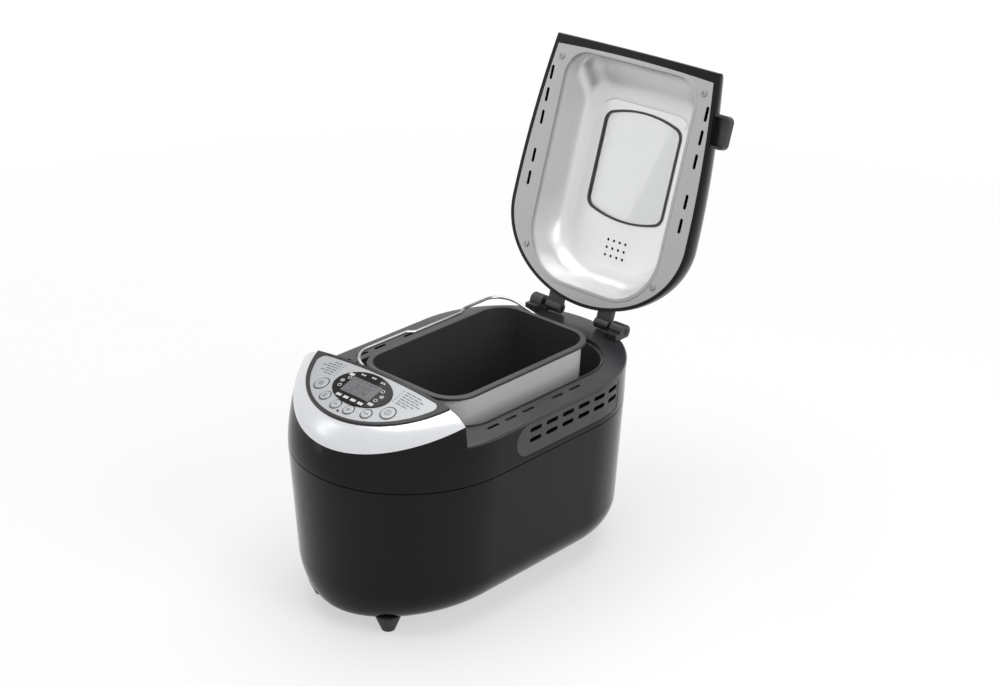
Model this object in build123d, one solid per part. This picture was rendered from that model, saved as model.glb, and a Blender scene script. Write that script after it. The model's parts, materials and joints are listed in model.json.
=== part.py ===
from build123d import *
import os
from math import atan, cos, degrees, hypot, pi, radians, sin, sqrt

# Two-paddle bread machine. Millimetres, +Z up. The origin is on the counter, under the middle of the body.
# The console end faces -Y, the lid hinge is at +Y, and the side with the vent grille and lid grip faces +X.
# The rest position has the lid open against its stop and the pan standing in its seat.

# ---------------------------------------------------------------- clearances
SEAT_GAP = 0.2         # between a piece and what it is seated in, on one body
RUNNING_GAP = 0.06     # radial, between a turning shaft and its bore
MOVING_GAP = 0.6       # between pieces that move past each other
SCREW_GAP = 0.05       # radial, around a screw's shank

# ---------------------------------------------------------------- body
WALL = 2.5
FRONT_CENTRE = -58.5   # where the round front end begins
REAR_CENTRE = 75.0     # where the round rear end begins
BOTTOM_Z = 13.0
KNEE_Z = 53.0          # where the rounded bottom meets the tapered side
SEAM_Z = 158.0
SEAM_WIDTH = 1.0
DECK_Z = 200.0
BOTTOM_HALF = 68.0
KNEE_HALF = 108.0
SEAM_HALF = 116.0
DECK_HALF = 117.5
KNEE_FRONT = -172.6
SEAM_FRONT = -176.0
FRONT_TUCK = 13.0      # how far the front edge rolls in at the bottom
REAR_TUCK = 15.0
KNEE_REAR = 184.0
SEAM_REAR = 188.0
DECK_REAR = 190.0
FRONT_LEAN = 21.0      # how far the front leans back over FRONT_LEAN_RISE above the seam
FRONT_LEAN_RISE = 55.0
FRONT_LEAN_POWER = 1.8

# ---------------------------------------------------------------- feet and base
FOOT_FRONT = (47.0, -138.0)
FOOT_REAR = (54.0, 105.0)
FOOT_TOP_R = 12.5
FOOT_TIP_R = 6.5
FOOT_TAPER_Z = 15.0
FOOT_TOP_Z = 17.5
FOOT_PEG_R = 4.0
FOOT_PEG_H = 8.0
BASE_T = 1.2
BASE_HALF = 54.0
BASE_FRONT = -116.0
BASE_REAR = 90.0
BASE_CORNER = 26.0
BASE_LEDGE = 6.0
BASE_VENTS = 9
BASE_VENT_PITCH = 16.0
BASE_VENT_WIDTH = 4.0
BASE_VENT_LENGTH = 34.0
BASE_SCREW_YS = (-70.0, 50.0)
SCREW_R = 1.5
SCREW_HEAD_R = 3.4
SCREW_HEAD_T = 1.6

# ---------------------------------------------------------------- console
CONSOLE_REAR = -94.5   # the console's upright rear face
TRIM_FRONT_Y = -169.0
TRIM_FRONT_Z = 188.0
TRIM_SLOPE = 0.40      # rise of the trim's lower edge towards the rear
BEZEL_FRONT_Y = -157.0
BEZEL_FRONT_Z = 212.2
BEZEL_SLOPE = 0.258
BEZEL_HALF = 88.5
TRIM_WALL = 2.5
TRIM_BULGE = 2.6
CROWN_SLOPE = 0.338    # slope of the crowned console face along its middle
CROWN_R = 700.0        # its radius across
CROWN_LIFT = 2.8       # its height over the bezel's front edge
BEZEL_RIM = 6.0
BEZEL_T = 2.5
PANEL_T = 1.4
LAYER_GAP = 0.15       # under the panel and the display window
PANEL_HALF = 81.5
PANEL_FRONT = -154.6
PANEL_REAR = -97.4
PANEL_CORNER = 6.0
PANEL_SINK = 0.5
LENS_X = 35.0
LENS_Y = 20.8
LENS_CENTRE = -119.5
LENS_PROUD = 0.3
SCREEN_X = 38.0
SCREEN_Y = 18.0
BUTTON_PROUD = 0.7
BUTTON_STROKE = 0.8
BUTTON_LARGE_R = 7.0
BUTTON_SMALL_R = 5.2
BUTTONS = {
    "button_start": (44.8, -129.5, BUTTON_LARGE_R),
    "button_loaf": (27.6, -140.4, BUTTON_SMALL_R),
    "button_plus": (8.6, -144.6, BUTTON_SMALL_R),
    "button_minus": (-8.6, -144.6, BUTTON_SMALL_R),
    "button_crust": (-27.6, -140.4, BUTTON_SMALL_R),
    "button_menu": (-44.8, -129.5, BUTTON_LARGE_R),
}
LED_Y = -150.0
LED_R = 1.2
BOARD_T = 1.6
BOARD_DROP = 13.0      # from the crowned face down to the control board
BOARD_INSET = 8.5      # from the bezel's outline to the board's edge
STANDOFF_R = 3.0
STANDOFFS = ((60.0, -107.0), (54.0, -120.0))
TACT_H = 1.0
STEM_R = 2.0
STEM_DEPTH = 9.5

# ---------------------------------------------------------------- deck and chamber
DECK_T = 3.0
DECK_EDGE_R = 1.6
CHAMBER_HALF = 90.0
CHAMBER_FRONT = -81.0
CHAMBER_REAR = 151.0
CHAMBER_FRONT_R = 35.0
CHAMBER_REAR_R = 60.0
LIP_H = 1.0
LIP_W = 1.5
SLOT_X = 100.4
SLOT_YS = (-51.0, -27.7, -4.0, 36.0, 60.0)
SLOT_LENGTH = 15.0
SLOT_WIDTH = 3.6
TUB_GAP = 1.5          # between the deck's opening and the tub
TUB_WALL = 1.0
TUB_FLOOR_Z = 50.0
TUB_FLANGE = 6.0

# ---------------------------------------------------------------- side grille
GRILLE_FRONT_Y = -36.0
GRILLE_REAR_Y = 112.0
GRILLE_LOW_Z = 164.0
GRILLE_HIGH_Z = 196.0
GRILLE_FRONT_R = 15.0
GRILLE_REAR_R = 4.0
GRILLE_ROWS = (189.0, 178.5)
GRILLE_FIRST_Y = -11.0
GRILLE_PITCH = 22.3
GRILLE_COLUMNS = 6
GRILLE_SLOT_LENGTH = 16.0
GRILLE_SLOT_WIDTH = 4.6
GRILLE_DEPTH = 1.7

# ---------------------------------------------------------------- rear cover and cord gland
COVER_HALF = 62.0
COVER_LOW_Z = 66.0
COVER_HIGH_Z = 146.0
COVER_CORNER = 12.0
COVER_PROUD = 2.0
COVER_SLOTS = 7
COVER_SLOT_HALF = 44.0
INLET_X = -40.0
INLET_Z = 40.0
INLET_R = 10.0
INLET_NECK_R = 7.0
INLET_BORE_R = 3.6

# ---------------------------------------------------------------- heater and probe
ELEMENT_R = 3.2
ELEMENT_Z = 67.0
ELEMENT_INSET = 10.0
ELEMENT_PIN_X = 15.0
ELEMENT_PIN_R = 2.4
PROBE_X = 40.0
PROBE_Z = 110.0
PROBE_R = 3.0

# ---------------------------------------------------------------- pan
PAN_HALF = 67.0
PAN_FRONT = -70.0
PAN_REAR = 134.0
PAN_CORNER = 32.0
PAN_RIM_Z = 217.0
PAN_RIM_T = 3.0
PAN_RIM_W = 4.5
PAN_DRAFT = 6.0        # how much each side leans in from the rim to the floor
PAN_FLOOR_Z = 78.0
PAN_WALL = 1.2
PADDLE_YS = {"front": -15.0, "rear": 78.0}
SHAFT_R = 4.0
SHAFT_TOP_Z = 110.0
SHAFT_LOW_Z = 58.0
WING_LENGTH = 24.0
WING_WIDTH = 5.0
WING_H = 5.0
BUSH_R = 8.0
SEAL_R = 9.0
SEAL_H = 4.0
PADDLE_HUB_R = 9.0
PADDLE_REACH = 40.0
PADDLE_BLADE_H = 27.0
PADDLE_BLADE_T = 3.0
PADDLE_LIFT = 0.5      # gap between the seal and the paddle's hub
PADDLE_TURN = {"front": 35.0, "rear": -140.0}
PAN_BASE_HALF = 28.0
PAN_BASE_LOW_Z = 56.0
PAN_BASE_WALL = 3.0
SEAT_WALL = 3.0
SEAT_H = 14.0
SEAT_LEDGE = 2.5

# ---------------------------------------------------------------- pan handle
BAIL_R = 1.5
BAIL_PIVOT_Z = 208.0
BAIL_GRIP_X = -68.5
BAIL_GRIP_Z = 224.0
BAIL_END_GAP = 3.6     # from the pan's rim to the wire's middle at each end
BAIL_CORNER = 24.0
BAIL_JOG = 4.5
BAIL_PEG = 6.4
BAIL_JOG_FRONT = 2.0
BAIL_JOG_REAR = 82.0
EAR_R = 7.0
EAR_PIVOT_R = 4.5

# ---------------------------------------------------------------- drive
CHASSIS_Z = 42.0
CHASSIS_T = 2.0
PULLEY_Z = 26.0
PULLEY_H = 10.0
PULLEY_R = 40.0
MOTOR_PULLEY_R = 10.0
MOTOR_Y = -126.0
MOTOR_R = 31.0
MOTOR_H = 82.0
MOTOR_BORE_Z = 62.0
CHASSIS_HALF = 62.0
CHASSIS_FRONT = -156.0
CHASSIS_REAR = 122.0
CHASSIS_CORNER = 30.0
POST_X = 59.0
POST_YS = (-100.0, -15.0, 78.0)
POST_R = 3.5
MOTOR_SHAFT_R = 4.0
DRIVE_SHAFT_R = 5.0
SPINDLE_TOP_Z = 55.5
BEARING_R = 9.0
COUPLER_R = 14.0
COUPLER_T = 3.0
BELT_T = 1.8
BELT_GAP = 0.3

# ---------------------------------------------------------------- lid, drawn closed and then opened
HINGE_Y = 179.2
HINGE_Z = 206.4
LID_OPEN_DEG = 107.7
LID_Z = 202.0
LID_TOP_Z = 249.0
LID_WALL = 2.5
LINER_T = 0.8
LINER_FRONT = -81.5
LINER_BOW = 3.0
LINER_FRONT_HALF = 100.0
LINER_HALF = 112.5
LINER_REAR = 166.0
LID_REAR_CENTRE = 82.0
LID_FRONT = -91.0
LID_BOW = 0.8
LID_FRONT_HALF = 103.5
LID_HALF = 117.0
LID_REAR = 169.5
DOME_HALF = 84.0
DOME_FRONT = -80.0
DOME_REAR = 152.0
DOME_FRONT_R = 28.0
DOME_REAR_R = 55.0
DOME_TOP_Z = 241.0
BEAD_W = 3.0
BEAD_H = 0.5
WINDOW_HALF = 48.0
WINDOW_FRONT = -22.0
WINDOW_REAR = 70.0
WINDOW_BOW = 9.0
WINDOW_CORNER = 10.0
GASKET_W = 2.2
GASKET_HOLE = 1.6      # how far the lining's opening is outside the window's outline
GLASS_T = 2.5
GLASS_GROW = 4.0
OUTER_GLASS_T = 1.8
LID_SCREWS = ((92.0, -69.5), (84.8, 126.6))
LID_SCREW_HEAD_T = 1.2
VENT_R = 1.5
VENT_PITCH_X = 7.6
VENT_PITCH_Y = 8.0
VENT_FIRST_Y = 101.5
GRIP_Y = -37.5
GRIP_LENGTH = 33.0
GRIP_X = (106.8, 128.5)
GRIP_LOW_Z = 203.2
GRIP_TOP_Z = 212.0
ARM_X = 33.0
ARM_W = 18.0
ARM_T = 5.5
ARM_Z = 204.0
ARM_FRONT_Y = 157.0
KNUCKLE_R = 5.6
BOSS_X = 54.0
BOSS_W = 15.0
BOSS_R = 7.5
BOSS_FRONT_Y = 165.0
HINGE_PIN_R = 3.0

FAR = 600.0            # larger than the whole machine
PARTS = "parts"


# ---------------------------------------------------------------- helpers
def box(x0, x1, y0, y1, z0, z1):
    """A block between two corners."""
    size = (x1 - x0, y1 - y0, z1 - z0)
    middle = ((x0 + x1) / 2, (y0 + y1) / 2, (z0 + z1) / 2)
    return Pos(*middle) * Box(*size)


def rod(x, y, z0, z1, radius):
    """An upright cylinder from z0 to z1."""
    return Pos(x, y, (z0 + z1) / 2) * Cylinder(radius, z1 - z0)


def cross_rod(x0, x1, y, z, radius):
    """A cylinder along X from x0 to x1."""
    return Pos((x0 + x1) / 2, y, z) * Rot(0, 90, 0) * Cylinder(radius, x1 - x0)


def end_rod(x, y0, y1, z, radius):
    """A cylinder along Y from y0 to y1."""
    return Pos(x, (y0 + y1) / 2, z) * Rot(90, 0, 0) * Cylinder(radius, y1 - y0)


def tube(x, y, z0, z1, outer, inner):
    return rod(x, y, z0, z1, outer) - rod(x, y, z0 - 1, z1 + 1, inner)


def outline_face(edges, z):
    return Pos(0, 0, z) * Face(Wire(edges))


def oval(half, front, rear, z):
    """Body section: half an ellipse at the front, straight sides and half an ellipse at the rear."""
    front_end = EllipticalCenterArc((0, FRONT_CENTRE), half, FRONT_CENTRE - front, 180, arc_size=180)
    rear_end = EllipticalCenterArc((0, REAR_CENTRE), half, rear - REAR_CENTRE, 0, arc_size=180)
    right = Line((half, FRONT_CENTRE), (half, REAR_CENTRE))
    left = Line((-half, REAR_CENTRE), (-half, FRONT_CENTRE))
    return outline_face([front_end, right, rear_end, left], z)


def rounded(half, front, rear, front_r, rear_r, z):
    """Rounded rectangle about the Y axis, with one corner radius at each end."""
    r, s = front_r, rear_r
    bend = sqrt(0.5)
    edges = [
        Line((-half + r, front), (half - r, front)),
        ThreePointArc((half - r, front), (half - r + r * bend, front + r - r * bend), (half, front + r)),
        Line((half, front + r), (half, rear - s)),
        ThreePointArc((half, rear - s), (half - s + s * bend, rear - s + s * bend), (half - s, rear)),
        Line((half - s, rear), (-half + s, rear)),
        ThreePointArc((-half + s, rear), (-half + s - s * bend, rear - s + s * bend), (-half, rear - s)),
        Line((-half, rear - s), (-half, front + r)),
        ThreePointArc((-half, front + r), (-half + r - r * bend, front + r - r * bend), (-half + r, front)),
    ]
    return outline_face(edges, z)


def lid_outline(front_half, half, front, rear, bow, z):
    """Lid section: a slightly bowed front edge, sides that swell to their widest and a round rear end."""
    centre = LID_REAR_CENTRE
    swell = ((half - front_half) ** 2 + (centre - front) ** 2) / (2 * (half - front_half))
    y_mid = (front + centre) / 2
    x_mid = half - swell + sqrt(swell ** 2 - (centre - y_mid) ** 2)
    edges = [
        ThreePointArc((-front_half, front), (0, front - bow), (front_half, front)),
        ThreePointArc((front_half, front), (x_mid, y_mid), (half, centre)),
        EllipticalCenterArc((0, centre), half, rear - centre, 0, arc_size=180),
        ThreePointArc((-half, centre), (-x_mid, y_mid), (-front_half, front)),
    ]
    return outline_face(edges, z)


def window_outline(grow, z):
    """Window section: straight long sides and bowed ends, with rounded corners."""
    half, bow = WINDOW_HALF + grow, WINDOW_BOW
    front, rear = WINDOW_FRONT - grow, WINDOW_REAR + grow
    edges = [
        ThreePointArc((-half, front), (0, front - bow), (half, front)),
        Line((half, front), (half, rear)),
        ThreePointArc((half, rear), (0, rear + bow), (-half, rear)),
        Line((-half, rear), (-half, front)),
    ]
    face = Face(Wire(edges))
    face = face.fillet_2d(WINDOW_CORNER + grow, face.vertices())
    return Pos(0, 0, z) * face


def prism(face, height):
    return extrude(face, amount=height, dir=(0, 0, 1))


def stack(faces):
    return loft(faces)


def below(plane):
    """Everything under a tilted plane."""
    return plane * Pos(0, 0, -FAR / 2) * Box(2 * FAR, 2 * FAR, FAR)


def tilted(y, z, slope):
    """A plane through (0, y, z) that rises by slope towards the rear."""
    normal = Vector(0, -slope, 1).normalized()
    return Plane(origin=(0, y, z), x_dir=(1, 0, 0), z_dir=normal)


def bent_rod(path, radius):
    """A round rod along a path, swept edge by edge."""
    pieces = [
        sweep(Plane(origin=edge.position_at(0), z_dir=edge.tangent_at(0)) * Circle(radius), path=edge)
        for edge in path.edges()
    ]
    return pieces[0].fuse(*pieces[1:])


def slot_y(x, y, length, width, z0, z1):
    """A round-ended bar along Y, for cutting a vent slot."""
    straight = length - width
    bar = box(x - width / 2, x + width / 2, y - straight / 2, y + straight / 2, z0, z1)
    return bar + rod(x, y - straight / 2, z0, z1, width / 2) + rod(x, y + straight / 2, z0, z1, width / 2)


def save(name, *shapes):
    """Write one node; several shapes become separate solids of it."""
    solids = [solid for shape in shapes for solid in shape.solids()]
    export_step(Compound(children=solids), f"{PARTS}/{name}.step")
    print(name, len(solids))


# ---------------------------------------------------------------- body shells
def lower_section(z, inset=0.0, floor=BOTTOM_Z):
    """Body section below the seam: a bottom that rolls in down to the floor, then a straight taper."""
    if z <= KNEE_Z:
        depth = (KNEE_Z - z) / (KNEE_Z - floor)
        roll = 1 - sqrt(max(0.0, 1 - depth ** 2))
        half = KNEE_HALF - (KNEE_HALF - BOTTOM_HALF) * roll
        return oval(half - inset, KNEE_FRONT + FRONT_TUCK * roll + inset, KNEE_REAR - REAR_TUCK * roll - inset, z)
    share = (z - KNEE_Z) / (SEAM_Z - KNEE_Z)
    half = KNEE_HALF + (SEAM_HALF - KNEE_HALF) * share
    front = KNEE_FRONT + (SEAM_FRONT - KNEE_FRONT) * share
    rear = KNEE_REAR + (SEAM_REAR - KNEE_REAR) * share
    return oval(half - inset, front + inset, rear - inset, z)


def upper_section(z, inset=0.0):
    """Body section above the seam: near-upright sides and a front that leans back."""
    share = (z - SEAM_Z) / (DECK_Z - SEAM_Z)
    half = SEAM_HALF + (DECK_HALF - SEAM_HALF) * min(1.0, share)
    rear = SEAM_REAR + (DECK_REAR - SEAM_REAR) * min(1.0, share)
    lean = max(0.0, (z - SEAM_Z) / FRONT_LEAN_RISE) ** FRONT_LEAN_POWER
    front = SEAM_FRONT + FRONT_LEAN * lean
    return oval(half - inset, front + inset, rear - inset, z)


def lower_solid(inset, bottom, top):
    """The lower body: a rounded underside up to the knee and a tapered wall above it."""
    rolls = [KNEE_Z - (KNEE_Z - bottom) * sin(radians(angle)) for angle in (90, 72, 54, 36, 18, 0)]
    rounded_part = stack([lower_section(z, inset, bottom) for z in rolls])
    return rounded_part + taper_solid(inset, top)


def taper_solid(inset, top):
    return loft([lower_section(KNEE_Z, inset), lower_section(top, inset)], ruled=True)


def upper_solid(inset, bottom):
    heights = [bottom, 172.0, 186.0, 200.0, 212.0, 224.0]
    return stack([upper_section(z, inset) for z in heights])


def lower_ring(outer_inset, inner_inset, z, height):
    return prism(lower_section(SEAM_Z, outer_inset), height).moved(Pos(0, 0, z - SEAM_Z)) - prism(
        lower_section(SEAM_Z, inner_inset), height
    ).moved(Pos(0, 0, z - SEAM_Z))


def base_outline(grow, z):
    corner = BASE_CORNER + grow
    return rounded(BASE_HALF + grow, BASE_FRONT - grow, BASE_REAR + grow, corner, corner, z)


def foot_points():
    return [(side * x, y) for side in (-1, 1) for x, y in (FOOT_FRONT, FOOT_REAR)]


def base_screw_points():
    return [(side * (BASE_HALF - BASE_LEDGE / 2), y) for side in (-1, 1) for y in BASE_SCREW_YS]


def post_points():
    return [(side * POST_X, y) for side in (-1, 1) for y in POST_YS]


def chassis_outline(z):
    return rounded(CHASSIS_HALF + 2, CHASSIS_FRONT, CHASSIS_REAR, CHASSIS_CORNER, CHASSIS_CORNER, z)


def make_lower_housing(body):
    """Lower shell with its bottom hatch, foot holes, screw bosses, chassis posts and seam tongue."""
    floor_z = BOTTOM_Z + WALL
    top = SEAM_Z - SEAM_WIDTH / 2
    shell = body - lower_solid(WALL, floor_z, top + 1)
    shell -= prism(base_outline(SEAT_GAP, BOTTOM_Z - 1), 1 + BASE_T)
    shell -= prism(base_outline(-BASE_LEDGE, BOTTOM_Z - 1), WALL + 2)
    shell += lower_ring(WALL - 0.3, WALL + 1.7, top - 6, 5.5)
    shell += lower_ring(WALL + 0.3, WALL + 1.7, top - 6, 10)
    for x, y in base_screw_points():
        shell += rod(x, y, floor_z - 1, floor_z + 9, BASE_LEDGE / 2)
        shell -= rod(x, y, BOTTOM_Z - 1, floor_z + 10, SCREW_R + SCREW_GAP)
    for x, y in post_points():
        shell += rod(x, y, floor_z - 1, CHASSIS_Z, POST_R)
        shell -= rod(x, y, CHASSIS_Z - 9, CHASSIS_Z + 1, SCREW_R + SCREW_GAP)
    for x, y in foot_points():
        shell -= rod(x, y, 0, KNEE_Z, FOOT_PEG_R + SEAT_GAP)
    shell -= end_rod(INLET_X, REAR_CENTRE, 2 * REAR_CENTRE + FAR, INLET_Z, INLET_NECK_R + SEAT_GAP)
    return shell


def screw_head(radius, thickness):
    """A pan head with a cross recess, its underside on the XY plane and its top facing +Z."""
    head = Pos(0, 0, thickness / 2) * Cylinder(radius, thickness)
    head = fillet(head.edges().group_by(Axis.Z)[-1], thickness * 0.6)
    bar = Box(radius * 1.1, radius * 0.28, thickness)
    cross = bar + Rot(0, 0, 90) * bar
    return head - Pos(0, 0, thickness) * cross


def screw_up(x, y, z, length, head_r=SCREW_HEAD_R, head_t=SCREW_HEAD_T):
    """A screw driven upwards: the underside of its head is at z."""
    return Pos(x, y, z) * Rot(180, 0, 0) * screw_head(head_r, head_t) + rod(x, y, z, z + length, SCREW_R)


def screw_down(x, y, z, length):
    return Pos(x, y, z) * screw_head(SCREW_HEAD_R, SCREW_HEAD_T) + rod(x, y, z - length, z, SCREW_R)


def make_base_plate():
    plate = prism(base_outline(0, BOTTOM_Z), BASE_T)
    middle = (BASE_FRONT + BASE_REAR) / 2
    for side in (-1, 1):
        for i in range(BASE_VENTS):
            y = middle + (i - (BASE_VENTS - 1) / 2) * BASE_VENT_PITCH
            x = side * (BASE_VENT_LENGTH / 2 + 5)
            plate -= box(x - BASE_VENT_LENGTH / 2, x + BASE_VENT_LENGTH / 2, y, y + BASE_VENT_WIDTH, 0, 2 * BOTTOM_Z)
    for x, y in base_screw_points():
        plate -= rod(x, y, 0, 2 * BOTTOM_Z, SCREW_R + SCREW_GAP)
    return plate


def make_feet(body):
    """Rubber feet: a cone cut to the rounded underside, with a peg up through the housing."""
    feet = []
    for x, y in foot_points():
        cone = Pos(x, y, FOOT_TAPER_Z / 2) * Cone(FOOT_TIP_R, FOOT_TOP_R, FOOT_TAPER_Z)
        foot = (cone + rod(x, y, FOOT_TAPER_Z, FOOT_TOP_Z, FOOT_TOP_R)) - body
        foot = foot.solids().sort_by(Axis.Z)[0]
        top = foot.bounding_box().max.Z
        peg = rod(x, y, FOOT_TAPER_Z / 2, top + FOOT_PEG_H, FOOT_PEG_R)
        feet.append(foot + peg)
    return feet


def grille_region(inset, x0, x1):
    """The side grille's outline, as a bar along X."""
    y0, y1 = GRILLE_FRONT_Y + inset, GRILLE_REAR_Y - inset
    z0, z1 = GRILLE_LOW_Z + inset, GRILLE_HIGH_Z - inset
    block = box(x0, x1, y0, y1, z0, z1)
    front = [edge for edge in block.edges().filter_by(Axis.X) if abs(edge.center().Y - y0) < 0.01]
    block = fillet(front, GRILLE_FRONT_R - inset)
    corner = [edge for edge in block.edges().filter_by(Axis.X) if abs(edge.center().Y - y1) < 0.01]
    return fillet(corner, GRILLE_REAR_R - inset)


def make_upper_housing(solid):
    """Upper shell: open under the deck and under the console's collar, with the console's rear wall."""
    bottom = SEAM_Z + SEAM_WIDTH / 2
    rim_z = DECK_Z - DECK_T
    under_deck = box(-FAR, FAR, CONSOLE_REAR, FAR, 0, rim_z)
    under_trim = box(-FAR, FAR, -FAR, CONSOLE_REAR, 0, FAR) & below(TRIM_PLANE)
    outer = solid & (under_deck + under_trim)
    inner = upper_solid(WALL, bottom - 1) - box(-FAR, FAR, CONSOLE_REAR - WALL, CONSOLE_REAR, rim_z - 8, FAR)
    shell = outer - inner
    wide = grille_region(-SEAT_GAP, SEAM_HALF / 2, FAR)
    narrow = grille_region(3.0, SEAM_HALF / 2, FAR)
    shell -= wide - upper_solid(GRILLE_DEPTH, bottom - 1)
    return shell - narrow


def make_side_grille(solid):
    bottom = SEAM_Z + SEAM_WIDTH / 2
    plate = grille_region(0, SEAM_HALF / 2, FAR) & upper_solid(0.3, bottom)
    plate -= upper_solid(GRILLE_DEPTH, bottom - 1)
    for z in GRILLE_ROWS:
        for i in range(GRILLE_COLUMNS):
            y = GRILLE_FIRST_Y + i * GRILLE_PITCH
            reach = (GRILLE_SLOT_LENGTH - GRILLE_SLOT_WIDTH) / 2
            half = GRILLE_SLOT_WIDTH / 2
            plate -= box(SEAM_HALF / 2, FAR, y - reach, y + reach, z - half, z + half)
            plate -= cross_rod(SEAM_HALF / 2, FAR, y - reach, z, half)
            plate -= cross_rod(SEAM_HALF / 2, FAR, y + reach, z, half)
    return plate


def make_rear_cover():
    """A louvred cover over the rear of the lower housing, standing proud of it."""
    region = box(-COVER_HALF, COVER_HALF, REAR_CENTRE, FAR, COVER_LOW_Z, COVER_HIGH_Z)
    region = fillet(region.edges().filter_by(Axis.Y), COVER_CORNER)
    top = COVER_HIGH_Z + 5
    cover = (taper_solid(-COVER_PROUD, top) & region) - taper_solid(0, top)
    for i in range(COVER_SLOTS):
        z = COVER_LOW_Z + (i + 1) * (COVER_HIGH_Z - COVER_LOW_Z) / (COVER_SLOTS + 1)
        cut = box(-COVER_SLOT_HALF, COVER_SLOT_HALF, REAR_CENTRE, FAR, z - 1.5, z + 1.5)
        cover -= fillet(cut.edges().filter_by(Axis.Y), 1.4)
    return cover


def make_power_inlet(body):
    """The cord gland: a collar on the rear wall, a neck through it and a bore for the cord."""
    outside = SEAM_REAR + 4
    collar = end_rod(INLET_X, REAR_CENTRE, outside, INLET_Z, INLET_R) - body
    collar = collar.solids().sort_by(Axis.Y)[-1]
    neck = end_rod(INLET_X, outside - 40, outside, INLET_Z, INLET_NECK_R)
    gland = collar + neck
    return gland - end_rod(INLET_X, 0, FAR, INLET_Z, INLET_BORE_R)


# ---------------------------------------------------------------- deck and chamber
def chamber_outline(grow, z):
    return rounded(
        CHAMBER_HALF + grow,
        CHAMBER_FRONT - grow,
        CHAMBER_REAR + grow,
        CHAMBER_FRONT_R + grow,
        CHAMBER_REAR_R + grow,
        z,
    )


def make_deck():
    """The deck plate over the rear of the body, with its chamber opening, lip and vent slots."""
    deck = prism(upper_section(DECK_Z).moved(Pos(0, 0, -DECK_T)), DECK_T)
    deck &= box(-FAR, FAR, CONSOLE_REAR, FAR, 0, FAR)
    rim = [
        edge
        for edge in deck.edges().group_by(Axis.Z)[-1]
        if edge.center().Y > CONSOLE_REAR + 1
    ]
    deck = fillet(rim, DECK_EDGE_R)
    deck += prism(chamber_outline(LIP_W, DECK_Z - 1), 1 + LIP_H)
    deck -= prism(chamber_outline(0, DECK_Z - 2 * DECK_T), 3 * DECK_T)
    for side in (-1, 1):
        for y in SLOT_YS:
            deck -= slot_y(side * SLOT_X, y, SLOT_LENGTH, SLOT_WIDTH, DECK_Z - 2 * DECK_T, DECK_Z + 1)
    return deck


def make_tub():
    """The heated chamber: a thin box hung from the deck by a flange, with holes for the drive and heater."""
    top = DECK_Z - DECK_T
    tub = prism(chamber_outline(-TUB_GAP, TUB_FLOOR_Z), top - TUB_FLOOR_Z)
    tub += prism(chamber_outline(-TUB_GAP + TUB_FLANGE, top - TUB_WALL), TUB_WALL)
    tub -= prism(chamber_outline(-TUB_GAP - TUB_WALL, TUB_FLOOR_Z + TUB_WALL), top)
    for y in PADDLE_YS.values():
        tub -= rod(0, y, TUB_FLOOR_Z - 1, TUB_FLOOR_Z + 2, DRIVE_SHAFT_R + 2)
    for side in (-1, 1):
        x = side * ELEMENT_PIN_X
        tub -= end_rod(x, CHAMBER_FRONT - 5, CHAMBER_FRONT + 15, ELEMENT_Z, ELEMENT_PIN_R + SEAT_GAP)
    tub -= end_rod(PROBE_X, CHAMBER_FRONT - 5, CHAMBER_FRONT + 15, PROBE_Z, PROBE_R + SEAT_GAP)
    return tub


def make_element():
    """A rod heater looped around the pan, with two terminals out through the chamber's front wall."""
    path = chamber_outline(-ELEMENT_INSET, ELEMENT_Z).outer_wire()
    loop = bent_rod(path, ELEMENT_R)
    front = CHAMBER_FRONT + ELEMENT_INSET
    for side in (-1, 1):
        loop += end_rod(side * ELEMENT_PIN_X, CHAMBER_FRONT - 8, front, ELEMENT_Z, ELEMENT_PIN_R)
    return loop


def make_element_clips():
    """Brackets that stand on the chamber's floor and cradle the heater."""
    clips = []
    x = CHAMBER_HALF - ELEMENT_INSET
    low = TUB_FLOOR_Z + TUB_WALL
    for side in (-1, 1):
        for y in (-20.0, 70.0):
            post = box(side * x - 4, side * x + 4, y - 3, y + 3, low, ELEMENT_Z + 1)
            clips.append(post - end_rod(side * x, y - 9, y + 9, ELEMENT_Z, ELEMENT_R + 0.1))
    return clips


def make_probe():
    probe = end_rod(PROBE_X, CHAMBER_FRONT - 6, CHAMBER_FRONT + 10, PROBE_Z, PROBE_R)
    outer = CHAMBER_FRONT + TUB_GAP
    return probe + end_rod(PROBE_X, outer - 3, outer, PROBE_Z, 2 * PROBE_R)


def pan_base_outline(grow, z):
    """The stadium-shaped ring under the pan."""
    radius = PAN_BASE_HALF + grow
    front = PADDLE_YS["front"] - radius
    rear = PADDLE_YS["rear"] + radius
    return rounded(radius, front, rear, radius - 0.01, radius - 0.01, z)


def make_pan_seat():
    low = TUB_FLOOR_Z + TUB_WALL
    ledge_z = PAN_BASE_LOW_Z - 0.3
    seat = prism(pan_base_outline(MOVING_GAP + SEAT_WALL, low), SEAT_H)
    seat -= prism(pan_base_outline(MOVING_GAP, ledge_z), SEAT_H)
    return seat - prism(pan_base_outline(-SEAT_LEDGE, low - 1), SEAT_H)


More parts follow.
